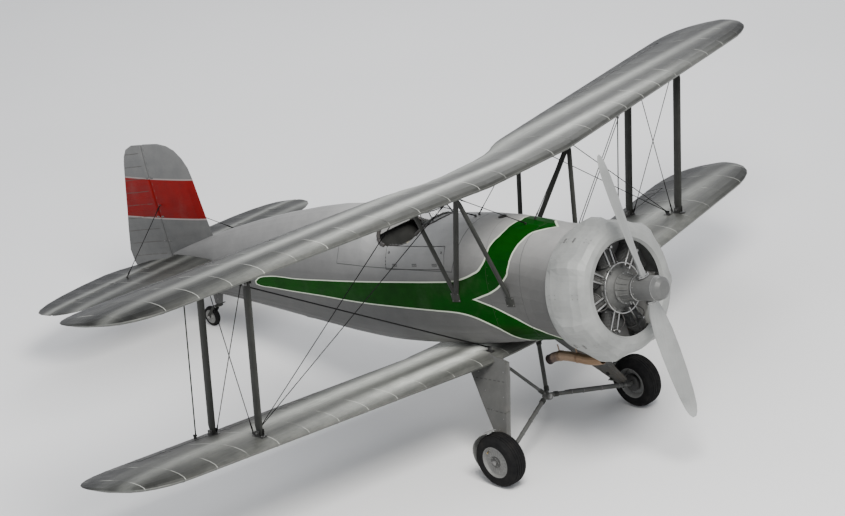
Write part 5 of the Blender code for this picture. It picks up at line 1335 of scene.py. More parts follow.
# boots and bolts of the vee at its apex and at the body
ve = Batch()
apex = Vector((0, 0.464, -0.849))
for s in (-1, 1):
    top = Vector((s * 0.262, 0.676, -0.400))
    d = (top - apex).normalized()
    u, w = frame_of(d)
    ve.tube([apex + d * 0.040, apex + d * 0.075], 0.0225, 16, 0, flat=0.7, ref=(0, 1, 0))
    h = shoot("fuselage", apex + d * 0.1, d)
    e = h[0] if h else apex + d * 0.44
    lw = shoot("lower_carry_through", apex + d * 0.1, d)
    if lw and (lw[0] - apex).length < (e - apex).length:
        e, h = lw[0], lw
    nn = h[1] if h else -d
    ve.tube([e - d * 0.036, e - d * 0.018, e - d * 0.004], [0.0225, 0.0240, 0.0290], 16, 0, flat=0.75, ref=(0, 1, 0))
    ve.box(e + nn * 0.002, (0.075, 0.060, 0.0040), (Vector((0, 1, 0)) - nn * nn.y, nn.cross(Vector((0, 1, 0))), nn), 0, 0.0014)
for s in (-1, 1):
    ve.rod(apex + Vector((0, s * 0.0300, 0)), apex + Vector((0, s * 0.0370, 0)), 0.0120, 6, m=1)
    ve.rod(apex + Vector((0, s * 0.0290, 0)), apex + Vector((0, s * 0.0320, 0)), 0.0180, 20, m=1)
ve.done("gear_vee_fittings", [m_strut, m_screw], "airframe", "strut_paint", 35)

# ------------------------------------------------------------------ mudguards
# a small blade on a stay behind each tyre, carried by the leg
for side, sg in (("left", 1), ("right", -1)):
    mg = Batch()
    c = Vector((sg * WHEEL_X, WHEEL_Y, WHEEL_Z))
    rings = []
    for k in range(11):
        t = math.radians(-14 + 10.5 * k)
        d = Vector((0, math.cos(t), math.sin(t)))
        wd = 0.026 + 0.040 * math.sin(math.pi * (k + 0.6) / 11.2)
        ring = []
        for lvl, rr in ((0, 0.2190), (1, 0.2208)):
            row = []
            for q in range(7):
                a = (q / 6 - 0.5) * 2
                row.append(c + Vector((sg * (a * wd + 0.006), 0, 0)) + d * (rr - 0.006 * a * a))
            ring += row if lvl == 0 else row[::-1]
        rings.append(ring)
    mg.loft(rings, m=0)
    for t in (math.radians(6), math.radians(52)):
        d = Vector((0, math.cos(t), math.sin(t)))
        a = c + Vector((sg * -0.034, 0, 0)) + d * 0.2175
        b = nearest("gear_leg_" + side, c + Vector((sg * -0.16, 0.0, 0)) + d * 0.16)[0]
        mg.tube([a, a + Vector((-sg * 0.040, 0, 0)), b], 0.0048, 8, 1)
        mg.box(b, (0.018, 0.026, 0.026), ((sg, 0, 0.478), (0, 1, 0), (-0.478, 0, sg)), 1, 0.003)
        mg.dome(a + d * 0.0016, d, 0.0045, 0.0022, 8, 1)
    mg.done("mudguard_" + side, [m_cowl, m_strut], "airframe", "leg_paint", 40)

# ------------------------------------------------------------------ tail wheel
tc = Vector((0, 4.193, -0.277))
ax = Vector((1, 0, 0))
tl = Batch()
tl.turn([(-0.0120, 0.0540), (-0.0180, 0.0560), (-0.0222, 0.0605), (-0.0236, 0.0650), (-0.0228, 0.0715), (-0.0196, 0.0770), (-0.0150, 0.0808), (-0.0100, 0.0828), (-0.0070, 0.0836),
         (-0.0066, 0.0818), (-0.0048, 0.0818), (-0.0044, 0.0842), (0.0044, 0.0842), (0.0048, 0.0818), (0.0066, 0.0818), (0.0070, 0.0836), (0.0100, 0.0828), (0.0150, 0.0808),
         (0.0196, 0.0770), (0.0228, 0.0715), (0.0236, 0.0650), (0.0222, 0.0605), (0.0180, 0.0560), (0.0120, 0.0540)], tc, ax, 72, 0)
tl.turn([(-0.0235, 0.0088), (-0.0235, 0.0200), (-0.0210, 0.0230), (-0.0150, 0.0260), (-0.0130, 0.0420), (-0.0140, 0.0490), (-0.0190, 0.0560), (-0.0200, 0.0590), (-0.0170, 0.0580), (-0.0130, 0.0535),
         (0.0130, 0.0535), (0.0170, 0.0580), (0.0200, 0.0590), (0.0190, 0.0560), (0.0140, 0.0490), (0.0130, 0.0420), (0.0150, 0.0260), (0.0210, 0.0230), (0.0235, 0.0200), (0.0235, 0.0088)],
        tc, ax, 56, 1)
for k in range(8):
    t = 2 * math.pi * k / 8
    d = Vector((0, math.cos(t), math.sin(t)))
    for s in (-1, 1):
        tl.dome(tc + ax * (s * 0.0135) + d * 0.036, ax * s, 0.0040, 0.0024, 6, 2)
ob = tl.done("tail_wheel_detail", [m_rubber, m_disc, m_screw], "tail_wheel", "tyre_rubber", 32)
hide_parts("tail_wheel")

tf = Batch()
for s in (-1, 1):
    tf.rod(tc + ax * (s * 0.0365), tc + ax * (s * 0.0400), 0.0115, 20, m=1)
    tf.rod(tc + ax * (s * 0.0395), tc + ax * (s * 0.0460), 0.0078, 6, m=1)
    # steering horn and its two springs' eyes
    tf.box((s * 0.034, 4.050, -0.1765), (0.046, 0.016, 0.0050), None, 0, 0.0012)
    hoop(tf, (s * 0.058, 4.050, -0.1765), (0, 0, 1), 0.0050, 0.0018, 16, 1, 6)
tf.rod((0, 4.050, -0.186), (0, 4.050, -0.197), 0.0130, 6, m=1)
tf.done("tail_fork_fittings", [m_strut, m_bright], "tail_fork", "strut_paint", 35)
tp = Batch()
tp.turn([(-0.0035, 0.0230), (-0.0035, 0.0270), (0.0040, 0.0270), (0.0040, 0.0230)], (0, 4.050, -0.1560), (0, 0, 1), 32, 0)
for s in (-1, 1):
    for y, z in ((4.000, -0.075), (4.055, -0.080), (4.020, -0.120)):
        h = shoot("tail_wheel_post", (s * 0.2, y, z), (-s, 0, 0))
        if h:
            tp.dome(h[0], h[1], 0.0048, 0.0026, 8, 1)
tp.done("tail_post_fittings", [m_hull, m_screw], "airframe", "hull_paint", 35)

# ------------------------------------------------------------------ cockpit
def leather_material(name, base, scale=120.0):
    g = Mat(name, rough=0.55, spec=0.42)
    c1 = g.cells(scale)
    mott = g.noise(11.0, 5.0, 0.6)
    crease = g.noise(1.0, 5.0, 0.7, stretch=(22.0, 22.0, 22.0))
    tone = ((mott - 0.5) * 0.35 + 1.0) * ((crease - 0.5) * 0.18 + 1.0)
    col = g.tint(g.ramp(mott, [(0.2, tuple(c * 0.88 for c in base)), (0.8, tuple(c * 1.12 for c in base))]), tone)
    worn = g.noise(6.0, 6.0, 0.65, seed=5.0).step(0.55, 0.80) * 0.35
    col = g.mix(worn, col, tuple(min(1.0, c * 1.9) for c in base))
    g.color(col)
    g.rough(mott * 0.25 + 0.40)
    g.bump(c1 * 0.0005 + crease * 0.0006)
    return g


def webbing_material(name, base):
    g = Mat(name, rough=0.80, spec=0.2)
    mott = g.noise(24.0, 4.0, 0.6)
    w = g.wave(g.x, 0.0026) * g.wave(g.z, 0.0026)
    col = g.tint(g.ramp(mott, [(0.2, tuple(c * 0.9 for c in base)), (0.8, tuple(c * 1.1 for c in base))]), (w * 0.12 + 1.0))
    g.color(col)
    g.bump(w * 0.00012 + mott * 0.0003)
    return g


def lining_and_shade_material():
    g = Mat("cockpit_lining_and_shade", rough=0.70, spec=0.3)
    mott = g.noise(10.0, 5.0, 0.6)
    fine = g.noise(110.0, 3.0, 0.6)
    tone = ((mott - 0.5) * 0.30 + 1.0) * ((fine - 0.5) * 0.12 + 1.0)
    # near black: the lining's own dark colour, deepened as painted shade of the cockpit's inside
    col = g.tint(g.ramp(mott, [(0.2, (0.034, 0.035, 0.033)), (0.8, (0.046, 0.046, 0.043))]), tone)
    g.color(col)
    g.rough(mott * 0.2 + 0.55)
    g.bump(mott * 0.0008 + fine * 0.0001)
    return g


def dial_material():
    """Black dial face."""
    g = Mat("dial_black", rough=0.45, spec=0.4)
    mott = g.noise(60.0, 3.0, 0.6)
    col = g.ramp(mott, [(0.2, (0.010, 0.010, 0.010)), (0.8, (0.018, 0.018, 0.018))])
    g.color(col)
    g.rough(mott * 0.2 + 0.35)
    g.bump(mott * 0.0001)
    return g


m_leather = leather_material("cockpit_leather", (0.060, 0.033, 0.020))
m_roll = leather_material("coaming_leather", (0.030, 0.026, 0.023), 150.0)
m_strap = webbing_material("harness_webbing", (0.30, 0.27, 0.20))
m_lining_and_shade = lining_and_shade_material()
m_dial = dial_material()
m_board = plain_paint("panel_crackle", (0.020, 0.020, 0.020), rough=0.55, metal=0.0, chips=0.05)
m_white = plain_paint("dial_marks", (0.78, 0.77, 0.70), rough=0.5, metal=0.0, chips=0.0)
m_seat = metal_material("seat_alloy", (0.12, 0.12, 0.115), rough=0.46, metal=0.55, stain=0.4, scale=20.0, spec=0.2)
m_black = plain_paint("black_enamel", (0.022, 0.022, 0.022), rough=0.38, metal=0.1, chips=0.25)
m_redknob = plain_paint("red_enamel", (0.32, 0.020, 0.014), rough=0.30, metal=0.0, chips=0.1)
paint("seat", m_seat)
paint("instrument_panel", m_board)
paint("control_stick", m_black)

# dark lining inside the body, with painted shade of the cockpit's inside: the faces of the CAD skin that look inward
hull_me = NODES["fuselage"].data
hull_me.materials.append(m_lining_and_shade.m)
hbm, hbv = level_bm("fuselage")
for poly in hull_me.polygons:
    p = LEVEL @ poly.center
    nn = LEVEL.to_3x3() @ poly.normal
    if 0.642 < p.y < 1.692 or abs(p.y - 0.66) < 0.03 or abs(p.y - 1.68) < 0.03:
        # inner skin: pointing to the middle of the tube
        toward = Vector((0, p.y, 0.08)) - p
        wall = (abs(p.y - 1.690) < 0.012 and nn.y < -0.8) or (abs(p.y - 0.650) < 0.030 and nn.y > 0.8)
        if (nn.dot(toward) > 0.10 * toward.length and 0.60 < p.y < 1.72) or wall:
            poly.material_index = 1

# opening edge: the loop of the hull's top hole, found by shooting down beside it
def rim_loop():
    pts = []
    n = 64
    cx, cy, hx, hy = 0.0, 1.365, 0.262, 0.255
    for k in range(n):
        t = 2 * math.pi * k / n
        d = Vector((math.cos(t), math.sin(t), 0))
        # walk outward until a downward ray meets the outer skin
        lo, hi = 0.02, 0.60
        for _ in range(26):
            mid = (lo + hi) / 2
            h = shoot("fuselage", (cx + d.x * mid, cy + d.y * mid, 1.2), (0, 0, -1))
            if h and h[0].z > 0.37 and h[1].z > 0.05:
                hi = mid
            else:
                lo = mid
        h = shoot("fuselage", (cx + d.x * (hi + 0.002), cy + d.y * (hi + 0.002), 1.2), (0, 0, -1))
        pts.append(h[0] if h else Vector((cx + d.x * hi, cy + d.y * hi, 0.5)))
    return pts


rim = rim_loop()
cp = Batch()
cen = Vector((0.0, 1.365, 0.0))
# padded roll round the opening, laced on; it stops short of the two flaps, which carry their own
good = [p.z > 0.37 and (Vector((p.x, p.y, 0)) - cen).length < 0.40 and not (abs(p.x) > 0.222 and 0.80 < p.y < 1.470) for p in rim]
runs, cur = [], []
first = next((i for i, g in enumerate(good) if not g), 0)
for k in range(len(rim) + 1):
    i = (first + k) % len(rim)
    if good[i] and k < len(rim):
        cur.append(rim[i])
    elif cur:
        if len(cur) > 3:
            runs.append(cur)
        cur = []
for run in runs:
    run = [run[0]] + [a.lerp(b, 0.5) for a, b in zip(run, run[1:])] + [run[-1]]
    roll = [p + (Vector((p.x, p.y, 0)) - cen).normalized() * -0.003 + Vector((0, 0, 0.001)) for p in run]
    cp.tube(roll, [0.0140 + 0.0009 * math.sin(i * 1.7) for i in range(len(roll))], 14, 0)
    for i in range(1, len(roll) - 1, 2):
        p = roll[i]
        o = (Vector((p.x, p.y, 0)) - cen).normalized()
        t = (roll[i + 1] - roll[i - 1]).normalized()
        hoop(cp, p, t, 0.0146, 0.0016, 16, 1, 6)
        h = shoot("fuselage", p + o * 0.024 + Vector((0, 0, 0.3)), (0, 0, -1))
        if h and h[0].z > 0.33:
            cp.dome(h[0], h[1], 0.0036, 0.0014, 8, 2)
cp.done("cockpit_coaming", [m_roll, m_black, m_screw], "airframe", "hull_paint", 40)

# the flaps: dark lining with painted shade on the inner face, a padded edge, hinges below and a catch at each end
for side, s in (("left", 1), ("right", -1)):
    node = "cockpit_flap_" + side
    me = NODES[node].data
    me.materials.clear()
    me.materials.append(m_hull.m)
    me.materials.append(m_lining_and_shade.m)
    for poly in me.polygons:
        nn = LEVEL.to_3x3() @ poly.normal
        if nn.x * s < -0.25:
            poly.material_index = 1
    fl = Batch()
    top = []
    for k in range(15):
        y = 1.145 + (1.425 - 1.145) * k / 14
        best = None
        for j in range(24):
            h = shoot(node, (s * (0.235 + 0.005 * j), y, 1.0), (0, 0, -1))
            if h and (best is None or h[0].z > best.z + 1e-5):
                best = h[0]
        if best:
            top.append(best + Vector((0, 0, 0.002)))
    if len(top) > 3:
        fl.tube(top, [0.0105 + 0.0007 * math.sin(i * 1.9) for i in range(len(top))], 12, 0)
        for i in range(1, len(top) - 1, 2):
            hoop(fl, top[i], (top[i + 1] - top[i - 1]).normalized(), 0.0112, 0.0014, 14, 1, 6)
    for y in (0.90, 1.12, 1.34):
        h = shoot(node, (s * 0.60, y, 0.290), (-s, 0, 0))
        if h:
            n = h[1]
            fl.box(h[0] + n * 0.0010, (0.050, 0.022, 0.0024), ((0, 1, 0), Vector((0, 1, 0)).cross(n), n), 2, 0.0005)
            for dy in (-0.018, 0.0, 0.018):
                fl.dome(h[0] + n * 0.0021 + Vector((0, dy, 0)), n, 0.0030, 0.0014, 8, 3)
    for y in (0.83, 1.41):
        h = shoot(node, (s * 0.60, y, 0.375), (-s, 0, 0))
        if h:
            n = h[1]
            fl.turn([(-0.0006, 0.0), (-0.0006, 0.0095), (0.0030, 0.0088), (0.0044, 0.0), ], h[0], n, 18, 2)
            fl.box(h[0] + n * 0.0048, (0.016, 0.0040, 0.0030), ((0, 1, 0), Vector((0, 1, 0)).cross(n), n), 3, 0.0006)
    fl.done("flap_fittings_" + side, [m_roll, m_black, m_fit, m_screw], "flap_" + side, None, 40)

# steel tube frame and formers inside the cockpit
fr = Batch()


def inside_x(y, z):
    """Half width of the inner skin at a station."""
    h = shoot("fuselage", (0.0, y, z), (1, 0, 0))
    return h[0].x if h else 0.30


for s in (-1, 1):
    rails = {}
    for z in (-0.17, 0.10, 0.236):
        line = []
        for k in range(9):
            y = 0.70 + 0.96 * k / 8
            line.append(Vector((s * (inside_x(y, z) - 0.014), y, z)))
        rails[z] = line
        fr.tube(line, 0.0085, 10, 0)
    for k in (0, 2, 4, 6, 8):
        fr.tube([rails[-0.17][k], Vector((s * (inside_x(rails[0.10][k].y, -0.03) - 0.014), rails[0.10][k].y, -0.03)), rails[0.10][k], rails[0.236][k]], 0.0075, 10, 0)
    for k in (0, 4):
        fr.rod(rails[-0.17][k], rails[0.10][k + 2], 0.0065, 10, m=0)
        fr.rod(rails[0.10][k + 2], rails[-0.17][min(k + 4, 8)], 0.0065, 10, m=0)
    # side shelf with throttle, mixture and trim
    if s == 1:
        q = Vector((s * (inside_x(1.12, 0.16) - 0.030), 1.12, 0.165))
        fr.box(q, (0.030, 0.170, 0.060), None, 1, 0.004)
        for k, (dy, m) in enumerate(((-0.040, 1), (0.000, 1), (0.038, 3))):
            b = q + Vector((-0.008 * s, dy, 0.028))
            e = b + Vector((-0.010 * s, -0.030 + 0.015 * k, 0.066))
            fr.rod(b, e, 0.0040, 8, m=2)
            fr.turn([(0, 0.0), (0.002, 0.0080), (0.010, 0.0115), (0.018, 0.0090), (0.021, 0.0)], e - Vector((0, 0, 0.004)), (e - b), 16, m)
        fr.turn([(-0.006, 0.0), (-0.006, 0.052), (0.006, 0.052), (0.006, 0.0)], (s * (inside_x(1.30, 0.02) - 0.036), 1.300, 0.02), (1, 0, 0), 36, 1)
        fr.rod((s * (inside_x(1.30, 0.02) - 0.046), 1.338, 0.02), (s * (inside_x(1.30, 0.02) - 0.075), 1.338, 0.02), 0.0085, 12, m=3)
    else:
        # fuel cock, hand pump and a map case on the other side
        fr.box((s * (inside_x(1.22, 0.12) - 0.024), 1.220, 0.120), (0.018, 0.190, 0.120), None, 4, 0.004)
        fr.rod((s * (inside_x(1.02, 0.08) - 0.030), 1.000, 0.080), (s * (inside_x(1.08, 0.08) - 0.030), 1.080, 0.080), 0.017, 16, m=2)
        fr.rod((s * (inside_x(1.08, 0.08) - 0.030), 1.080, 0.080), (s * (inside_x(1.08, 0.08) - 0.030), 1.128, 0.080), 0.0050, 10, m=2)
        fr.rod((s * (inside_x(1.08, 0.08) - 0.052), 1.128, 0.080), (s * (inside_x(1.08, 0.08) - 0.008), 1.128, 0.080), 0.0070, 10, m=1)
# cross tubes ahead of the board and behind the seat
for y, z in ((0.72, 0.236), (1.655, 0.236), (1.655, 0.10), (0.72, -0.17), (1.655, -0.17)):
    w = inside_x(y, z) - 0.014
    fr.rod((-w, y, z), (w, y, z), 0.0080, 10)
# floor boards with their screws
for x in (-0.150, -0.100, 0.100, 0.150):
    fr.box((x, 1.02, -0.226), (0.044, 0.560, 0.008), None, 5, 0.0015)
    for y in (0.78, 1.00, 1.26):
        fr.dome((x, y, -0.2218), (0, 0, 1), 0.0040, 0.0014, 8, 2)
# rudder bar with two pedals, straps and cables
fr.rod((-0.165, 0.860, -0.150), (0.165, 0.860, -0.150), 0.0110, 14, m=1)
fr.rod((0, 0.860, -0.230), (0, 0.860, -0.130), 0.0140, 16, m=2)
for s in (-1, 1):
    fr.box((s * 0.145, 0.868, -0.118), (0.070, 0.012, 0.120), None, 2, 0.004)
    for k in range(5):
        fr.box((s * 0.145, 0.8755, -0.160 + 0.020 * k), (0.060, 0.0040, 0.0060), None, 1, 0.001)
    fr.tube([(s * 0.110, 0.872, -0.100), (s * 0.112, 0.915, -0.080), (s * 0.145, 0.930, -0.072), (s * 0.178, 0.915, -0.080), (s * 0.180, 0.872, -0.100)], 0.0090, 8, 4, flat=0.3)
    fr.rod((s * 0.150, 0.860, -0.150), (s * 0.150, 1.640, -0.150), 0.0022, 8, m=2)
fr.done("cockpit_frame", [plain_paint("frame_paint", (0.095, 0.105, 0.085), rough=0.5, metal=0.2, chips=0.3), m_black, m_seat, m_redknob, m_leather,
                          plain_paint("floor_board", (0.085, 0.060, 0.038), rough=0.6, metal=0.0, chips=0.2, bare=(0.16, 0.11, 0.07))], "airframe", "hull_paint", 38)

# boot and grip of the stick
sk = Batch()
prof = [(0.0, 0.0)]
for k in range(7):
    a = 0.004 + 0.011 * k
    r = 0.060 - 0.0062 * k
    prof += [(a, r), (a + 0.0055, r - 0.009)]
prof += [(0.084, 0.0125), (0.090, 0.0), ]
sk.turn(prof, (0, 1.1605, -0.2205), (0, 0.05, 1), 28, 0)
for k in range(6):
    hoop(sk, (0, 1.1795 + 0.0010 * k, 0.146 + 0.0140 * k), (0, 0.08, 1), 0.0160, 0.0042, 20, 1, 8)
sk.turn([(0.0, 0.0), (0.0, 0.0165), (0.008, 0.0180), (0.016, 0.0150), (0.021, 0.0080), (0.022, 0.0)], (0, 1.1855, 0.226), (0, 0.08, 1), 22, 1)
sk.rod((0, 1.168, 0.232), (0, 1.160, 0.236), 0.0055, 12, m=2)
sk.done("stick_boot_and_grip", [m_leather, m_black, m_redknob], "airframe", None, 40)

# instruments: bezels, faces, pointers, switches, compass
ins = Batch()
BY = 0.9905
DIALS = [(-0.200, 0.395, 0.042), (-0.098, 0.400, 0.042), (0.098, 0.400, 0.042), (0.200, 0.395, 0.042), (-0.200, 0.285, 0.042), (-0.098, 0.288, 0.038), (0.200, 0.285, 0.042),
         (0.098, 0.290, 0.036), (0.000, 0.445, 0.030), (-0.215, 0.192, 0.028), (-0.140, 0.195, 0.028)]
for i, (x, z, r) in enumerate(DIALS):
    c = Vector((x, BY, z))
    ins.turn([(-0.0006, r * 0.84), (-0.0006, r), (0.0070, r), (0.0105, r * 0.955), (0.0105, r * 0.90), (0.0060, r * 0.84)], c, (0, 1, 0), 40, 0)
    ins.turn([(0.0, 0.0), (0.0, r * 0.86), (0.0030, r * 0.86), (0.0030, 0.0)], c, (0, 1, 0), 40, 1)
    for k in range(24):
        t = math.radians(220 - 260 * k / 23) if i % 3 else 2 * math.pi * k / 24
        d = Vector((math.cos(t), 0, math.sin(t)))
        w = Vector((-math.sin(t), 0, math.cos(t)))
        long = 0.15 if k % 4 == 0 else 0.08
        ins.box(c + Vector((0, 0.0032, 0)) + d * r * (0.80 - long / 2), (r * long, 0.0006, 0.0012 if k % 4 == 0 else 0.0007), (d, (0, 1, 0), w), 2)
    t = math.radians(200 - 37 * i)
    d = Vector((math.cos(t), 0, math.sin(t)))
    w = Vector((-math.sin(t), 0, math.cos(t)))
    ins.box(c + Vector((0, 0.0042, 0)) + d * r * 0.24, (r * 0.70, 0.0007, 0.0018), (d, (0, 1, 0), w), 2)
    ins.turn([(0.003, 0.0), (0.003, r * 0.10), (0.0056, r * 0.09), (0.0056, 0.0)], c, (0, 1, 0), 14, 0)
    for k in range(4):
        t = math.pi / 4 + k * math.pi / 2
        ins.dome(c + Vector((math.cos(t) * r * 1.12, -0.0004, math.sin(t) * r * 1.12)), (0, 1, 0), 0.0028, 0.0014, 8, 3)
for k in range(6):
    x = 0.100 + 0.026 * k
    ins.rod((x, BY - 0.0005, 0.190), (x, BY + 0.004, 0.190), 0.0070, 6, m=3)
    ins.rod((x, BY + 0.003, 0.190), (x, BY + 0.017, 0.190 + (0.008 if k % 2 else -0.008)), 0.0024, 8, r1=0.0036, m=3)
for x, m in ((-0.050, 4), (-0.010, 0), (0.030, 0)):
    ins.rod((x, BY - 0.0005, 0.188), (x, BY + 0.020, 0.188), 0.0035, 8, m=3)
    ins.turn([(0.016, 0.0), (0.017, 0.0070), (0.026, 0.0095), (0.032, 0.0070), (0.033, 0.0)], (x, BY, 0.188), (0, 1, 0), 16, m)
# compass bowl hung in the middle of the board
ins.turn([(-0.0004, 0.0), (-0.0004, 0.030), (0.020, 0.036), (0.040, 0.036), (0.046, 0.031), (0.046, 0.0)], (0.0, BY, 0.330), (0, 1, 0), 32, 0)
ins.turn([(0.0450, 0.0), (0.0450, 0.029), (0.0472, 0.028), (0.0472, 0.0)], (0.0, BY, 0.330), (0, 1, 0), 32, 1)
ins.box((0.0, BY + 0.0476, 0.330), (0.0012, 0.0006, 0.050), None, 2)
for k in range(5):
    ins.box((-0.016 + 0.008 * k, BY + 0.0476, 0.328), (0.0008, 0.0006, 0.012), None, 2)
ins.done("instruments", [m_black, m_dial, m_white, m_screw, m_redknob], "airframe", "panel_black", 35)

# windscreen: the clear pane keeps its CAD shape, the frame is added round it
def clear_material():
    g = Mat("screen_clear", rough=0.06, spec=0.30)
    g.b.inputs["IOR"].default_value = 1.46
    mott = g.noise(5.0, 5.0, 0.6)
    scr = g.noise(1.0, 4.0, 0.7, stretch=(160.0, 160.0, 12.0))
    g.color(g.ramp(mott, [(0.2, (0.050, 0.056, 0.053)), (0.8, (0.080, 0.088, 0.084))]))
    g.rough(mott * 0.06 + 0.05 + scr.step(0.60, 0.80) * 0.10)
    a = scr.step(0.62, 0.80) * 0.10 + mott * 0.08 + 0.24
    g.nt.links.new(a.s, g.b.inputs["Alpha"])
    g.bump(mott * 0.0003)
    return g


m_clear = clear_material()
paint("windscreen", m_clear)
SCR = [(-0.158, 1.092), (-0.112, 1.022), (-0.038, 0.985), (0.038, 0.985), (0.112, 1.022), (0.158, 1.092)]
LEV = [(0.440, 1.0, 0.0), (0.520, 0.97, 0.012), (0.575, 0.91, 0.028), (0.615, 0.83, 0.046)]
STOP = 0.615


def screen_at(i, z):
    for (z0, s0, d0), (z1, s1, d1) in zip(LEV, LEV[1:]):
        if z <= z1 or z1 == STOP:
            f = max(0.0, min(1.0, (z - z0) / (z1 - z0)))
            s, dy = s0 + (s1 - s0) * f, d0 + (d1 - d0) * f
            break
    x, y = SCR[i]
    m = 0.985
    return Vector((x * s * m, (y - 1.092) * s * 0.975 + 1.092 + dy, z))


ws = Batch()
top = [screen_at(i, STOP) for i in range(6)]
feet = []
for i in range(6):
    z = 0.43
    best = None
    for k in range(40):
        z = 0.43 + 0.0045 * k
        p = screen_at(i, z)
        h = shoot("fuselage", (p.x, p.y, 1.2), (0, 0, -1))
        if h and h[0].z > 0.30 and z >= h[0].z:
            best = p
            break
    feet.append(best or screen_at(i, 0.50))
ws.tube(top, 0.0040, 10, 0)
for i in (0, 1, 4, 5):
    n = 7
    ws.tube([screen_at(i, feet[i].z + (STOP - feet[i].z) * k / (n - 1)) for k in range(n)], 0.0042, 10, 0)
base = []
for i in range(5):
    for k in range(6):
        a = feet[i].lerp(feet[i + 1], k / 6)
        h = shoot("fuselage", (a.x, a.y, 1.2), (0, 0, -1))
        base.append(Vector((a.x, a.y, (h[0].z if h and h[0].z > 0.3 else a.z) + 0.003)))
base.append(feet[5])
ws.tube(base, 0.0060, 10, 1, flat=0.7)
for i in range(1, len(base) - 1, 3):
    h = shoot("fuselage", base[i] + Vector((0, -0.012 if abs(base[i].x) < 0.115 else 0.0, 0.4)) + Vector((0.012 if base[i].x > 0.115 else (-0.012 if base[i].x < -0.115 else 0), 0, 0)), (0, 0, -1))
    if h:
        ws.dome(h[0], h[1], 0.0042, 0.0018, 8, 2)
for i in (1, 4):
    for k in range(1, 6):
        p = screen_at(i, feet[i].z + (STOP - feet[i].z) * k / 6)
        o = Vector((p.x, p.y - 1.2, 0)).normalized()
        ws.dome(p + o * 0.0038, o, 0.0022, 0.0010, 6, 2)
ws.done("windscreen_frame", [m_black, m_roll, m_screw], "airframe", "hull_paint", 40)

# ------------------------------------------------------------------ cushions
def cushion(name, lo, hi, mat, seams, tilt=None, slot=None):
    """A rounded block, the starting shape of a stitched pad."""
    lo, hi = Vector(lo), Vector(hi)
    c, h = (lo + hi) * 0.5, (hi - lo) * 0.5
    bm = bmesh.new()
    bmesh.ops.create_cube(bm, size=2.0)
    bmesh.ops.subdivide_edges(bm, edges=bm.edges[:], cuts=3, use_grid_fill=True)
    for v in bm.verts:
        p = Vector(v.co)
        q = Vector((p.x * h.x, p.y * h.y, p.z * h.z))
        r = min(h) * 0.55
        inner = Vector([max(-h[i] + r, min(h[i] - r, q[i])) for i in range(3)])
        d = q - inner
        if d.length > 1e-9:
            q = inner + d.normalized() * r
        v.co = q
    me = bpy.data.meshes.new(name)
    bm.to_mesh(me)
    bm.free()
    ob = bpy.data.objects.new(name, me)
    bpy.context.collection.objects.link(ob)
    return ob, c, h


def pad(name, lo, hi, mat, tufts, roll=0.0):
    ob, c, h = cushion(name, lo, hi, mat, None)
    rm = ob.modifiers.new("remesh", "REMESH")
    rm.mode = "VOXEL"
    rm.voxel_size = 0.0055
    bpy.context.view_layer.update()
    dg = bpy.context.evaluated_depsgraph_get()
    me = bpy.data.meshes.new_from_object(ob.evaluated_get(dg))
    ob.modifiers.clear()
    ob.data = me
    axis = min(range(3), key=lambda i: h[i])
    others = [i for i in range(3) if i != axis]
    before = [v.co.copy() for v in me.vertices]
    # vertices held: the back face, and the stitched channels of the cover
    vg = ob.vertex_groups.new(name="held")
    for v in me.vertices:
        w = 0.0
        if v.co[axis] < -h[axis] * 0.55:
            w = 1.0
        for kind, val in tufts:
            if kind == "line" and abs(v.co[others[0]] - val) < 0.0045 and v.co[axis] > 0 and abs(v.co[others[1]]) < h[others[1]] * 0.88:
                w = 1.0
            if kind == "cross" and abs(v.co[others[1]] - val) < 0.0045 and v.co[axis] > 0 and abs(v.co[others[0]]) < h[others[0]] * 0.88:
                w = 1.0
        if w:
            vg.add([v.index], w, "REPLACE")
    cl = ob.modifiers.new("cloth", "CLOTH")
    s = cl.settings
    s.quality = 6
    s.mass = 0.30
    s.use_pressure = True
    s.uniform_pressure_force = 4.0
    s.tension_stiffness = 9.0
    s.compression_stiffness = 6.0
    s.shear_stiffness = 4.0
    s.bending_stiffness = 0.35
    s.vertex_group_mass = "held"
    s.pin_stiffness = 1.0
    s.effector_weights.gravity = 0.0
    cl.collision_settings.use_collision = False
    cl.collision_settings.use_self_collision = False
    cl.point_cache.frame_start = 1
    cl.point_cache.frame_end = 20
    sc = bpy.context.scene
    for f in range(1, 21):
        sc.frame_set(f)
    dg = bpy.context.evaluated_depsgraph_get()
    done = bpy.data.meshes.new_from_object(ob.evaluated_get(dg))
    ob.modifiers.clear()
    if len(done.vertices) == len(before):
        for v, b in zip(done.vertices, before):
            d = v.co - b
            if d.length > 0.011:
                v.co = b + d.normalized() * 0.011
    ob.data = done
    me = done
    # channels drawn in
    for v in me.vertices:
        for kind, val in tufts:
            k = others[0] if kind == "line" else others[1]
            e = abs(v.co[k] - val)
            if e < 0.012 and v.co[axis] > 0:
                v.co[axis] -= 0.0045 * (1 - e / 0.012) ** 2
    sub = ob.modifiers.new("sub", "SUBSURF")
    sub.levels = sub.render_levels = 1
    dg = bpy.context.evaluated_depsgraph_get()
    fin = bpy.data.meshes.new_from_object(ob.evaluated_get(dg))
    ob.modifiers.clear()
    ob.data = fin
    fin.transform(Matrix.Rotation(roll, 4, "X"))
    fin.transform(Matrix.Translation(c))
    fin.transform(STAND)
    fin.materials.clear()
    fin.materials.append(mat.m)
    fin.shade_smooth()
    ob.vertex_groups.clear()
    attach(ob, "airframe")
    return ob


m_seat_pad = leather_material("seat_leather", (0.075, 0.040, 0.022), 130.0)
seat_pad = pad("seat_cushion", (-0.178, 1.315, -0.098), (0.178, 1.560, -0.040), m_seat_pad, [("line", -0.088), ("line", 0.0), ("line", 0.088)])
back_pad = pad("back_cushion", (-0.176, 1.555, -0.035), (0.176, 1.597, 0.300), m_seat_pad, [("cross", -0.085), ("cross", 0.0), ("cross", 0.085)])
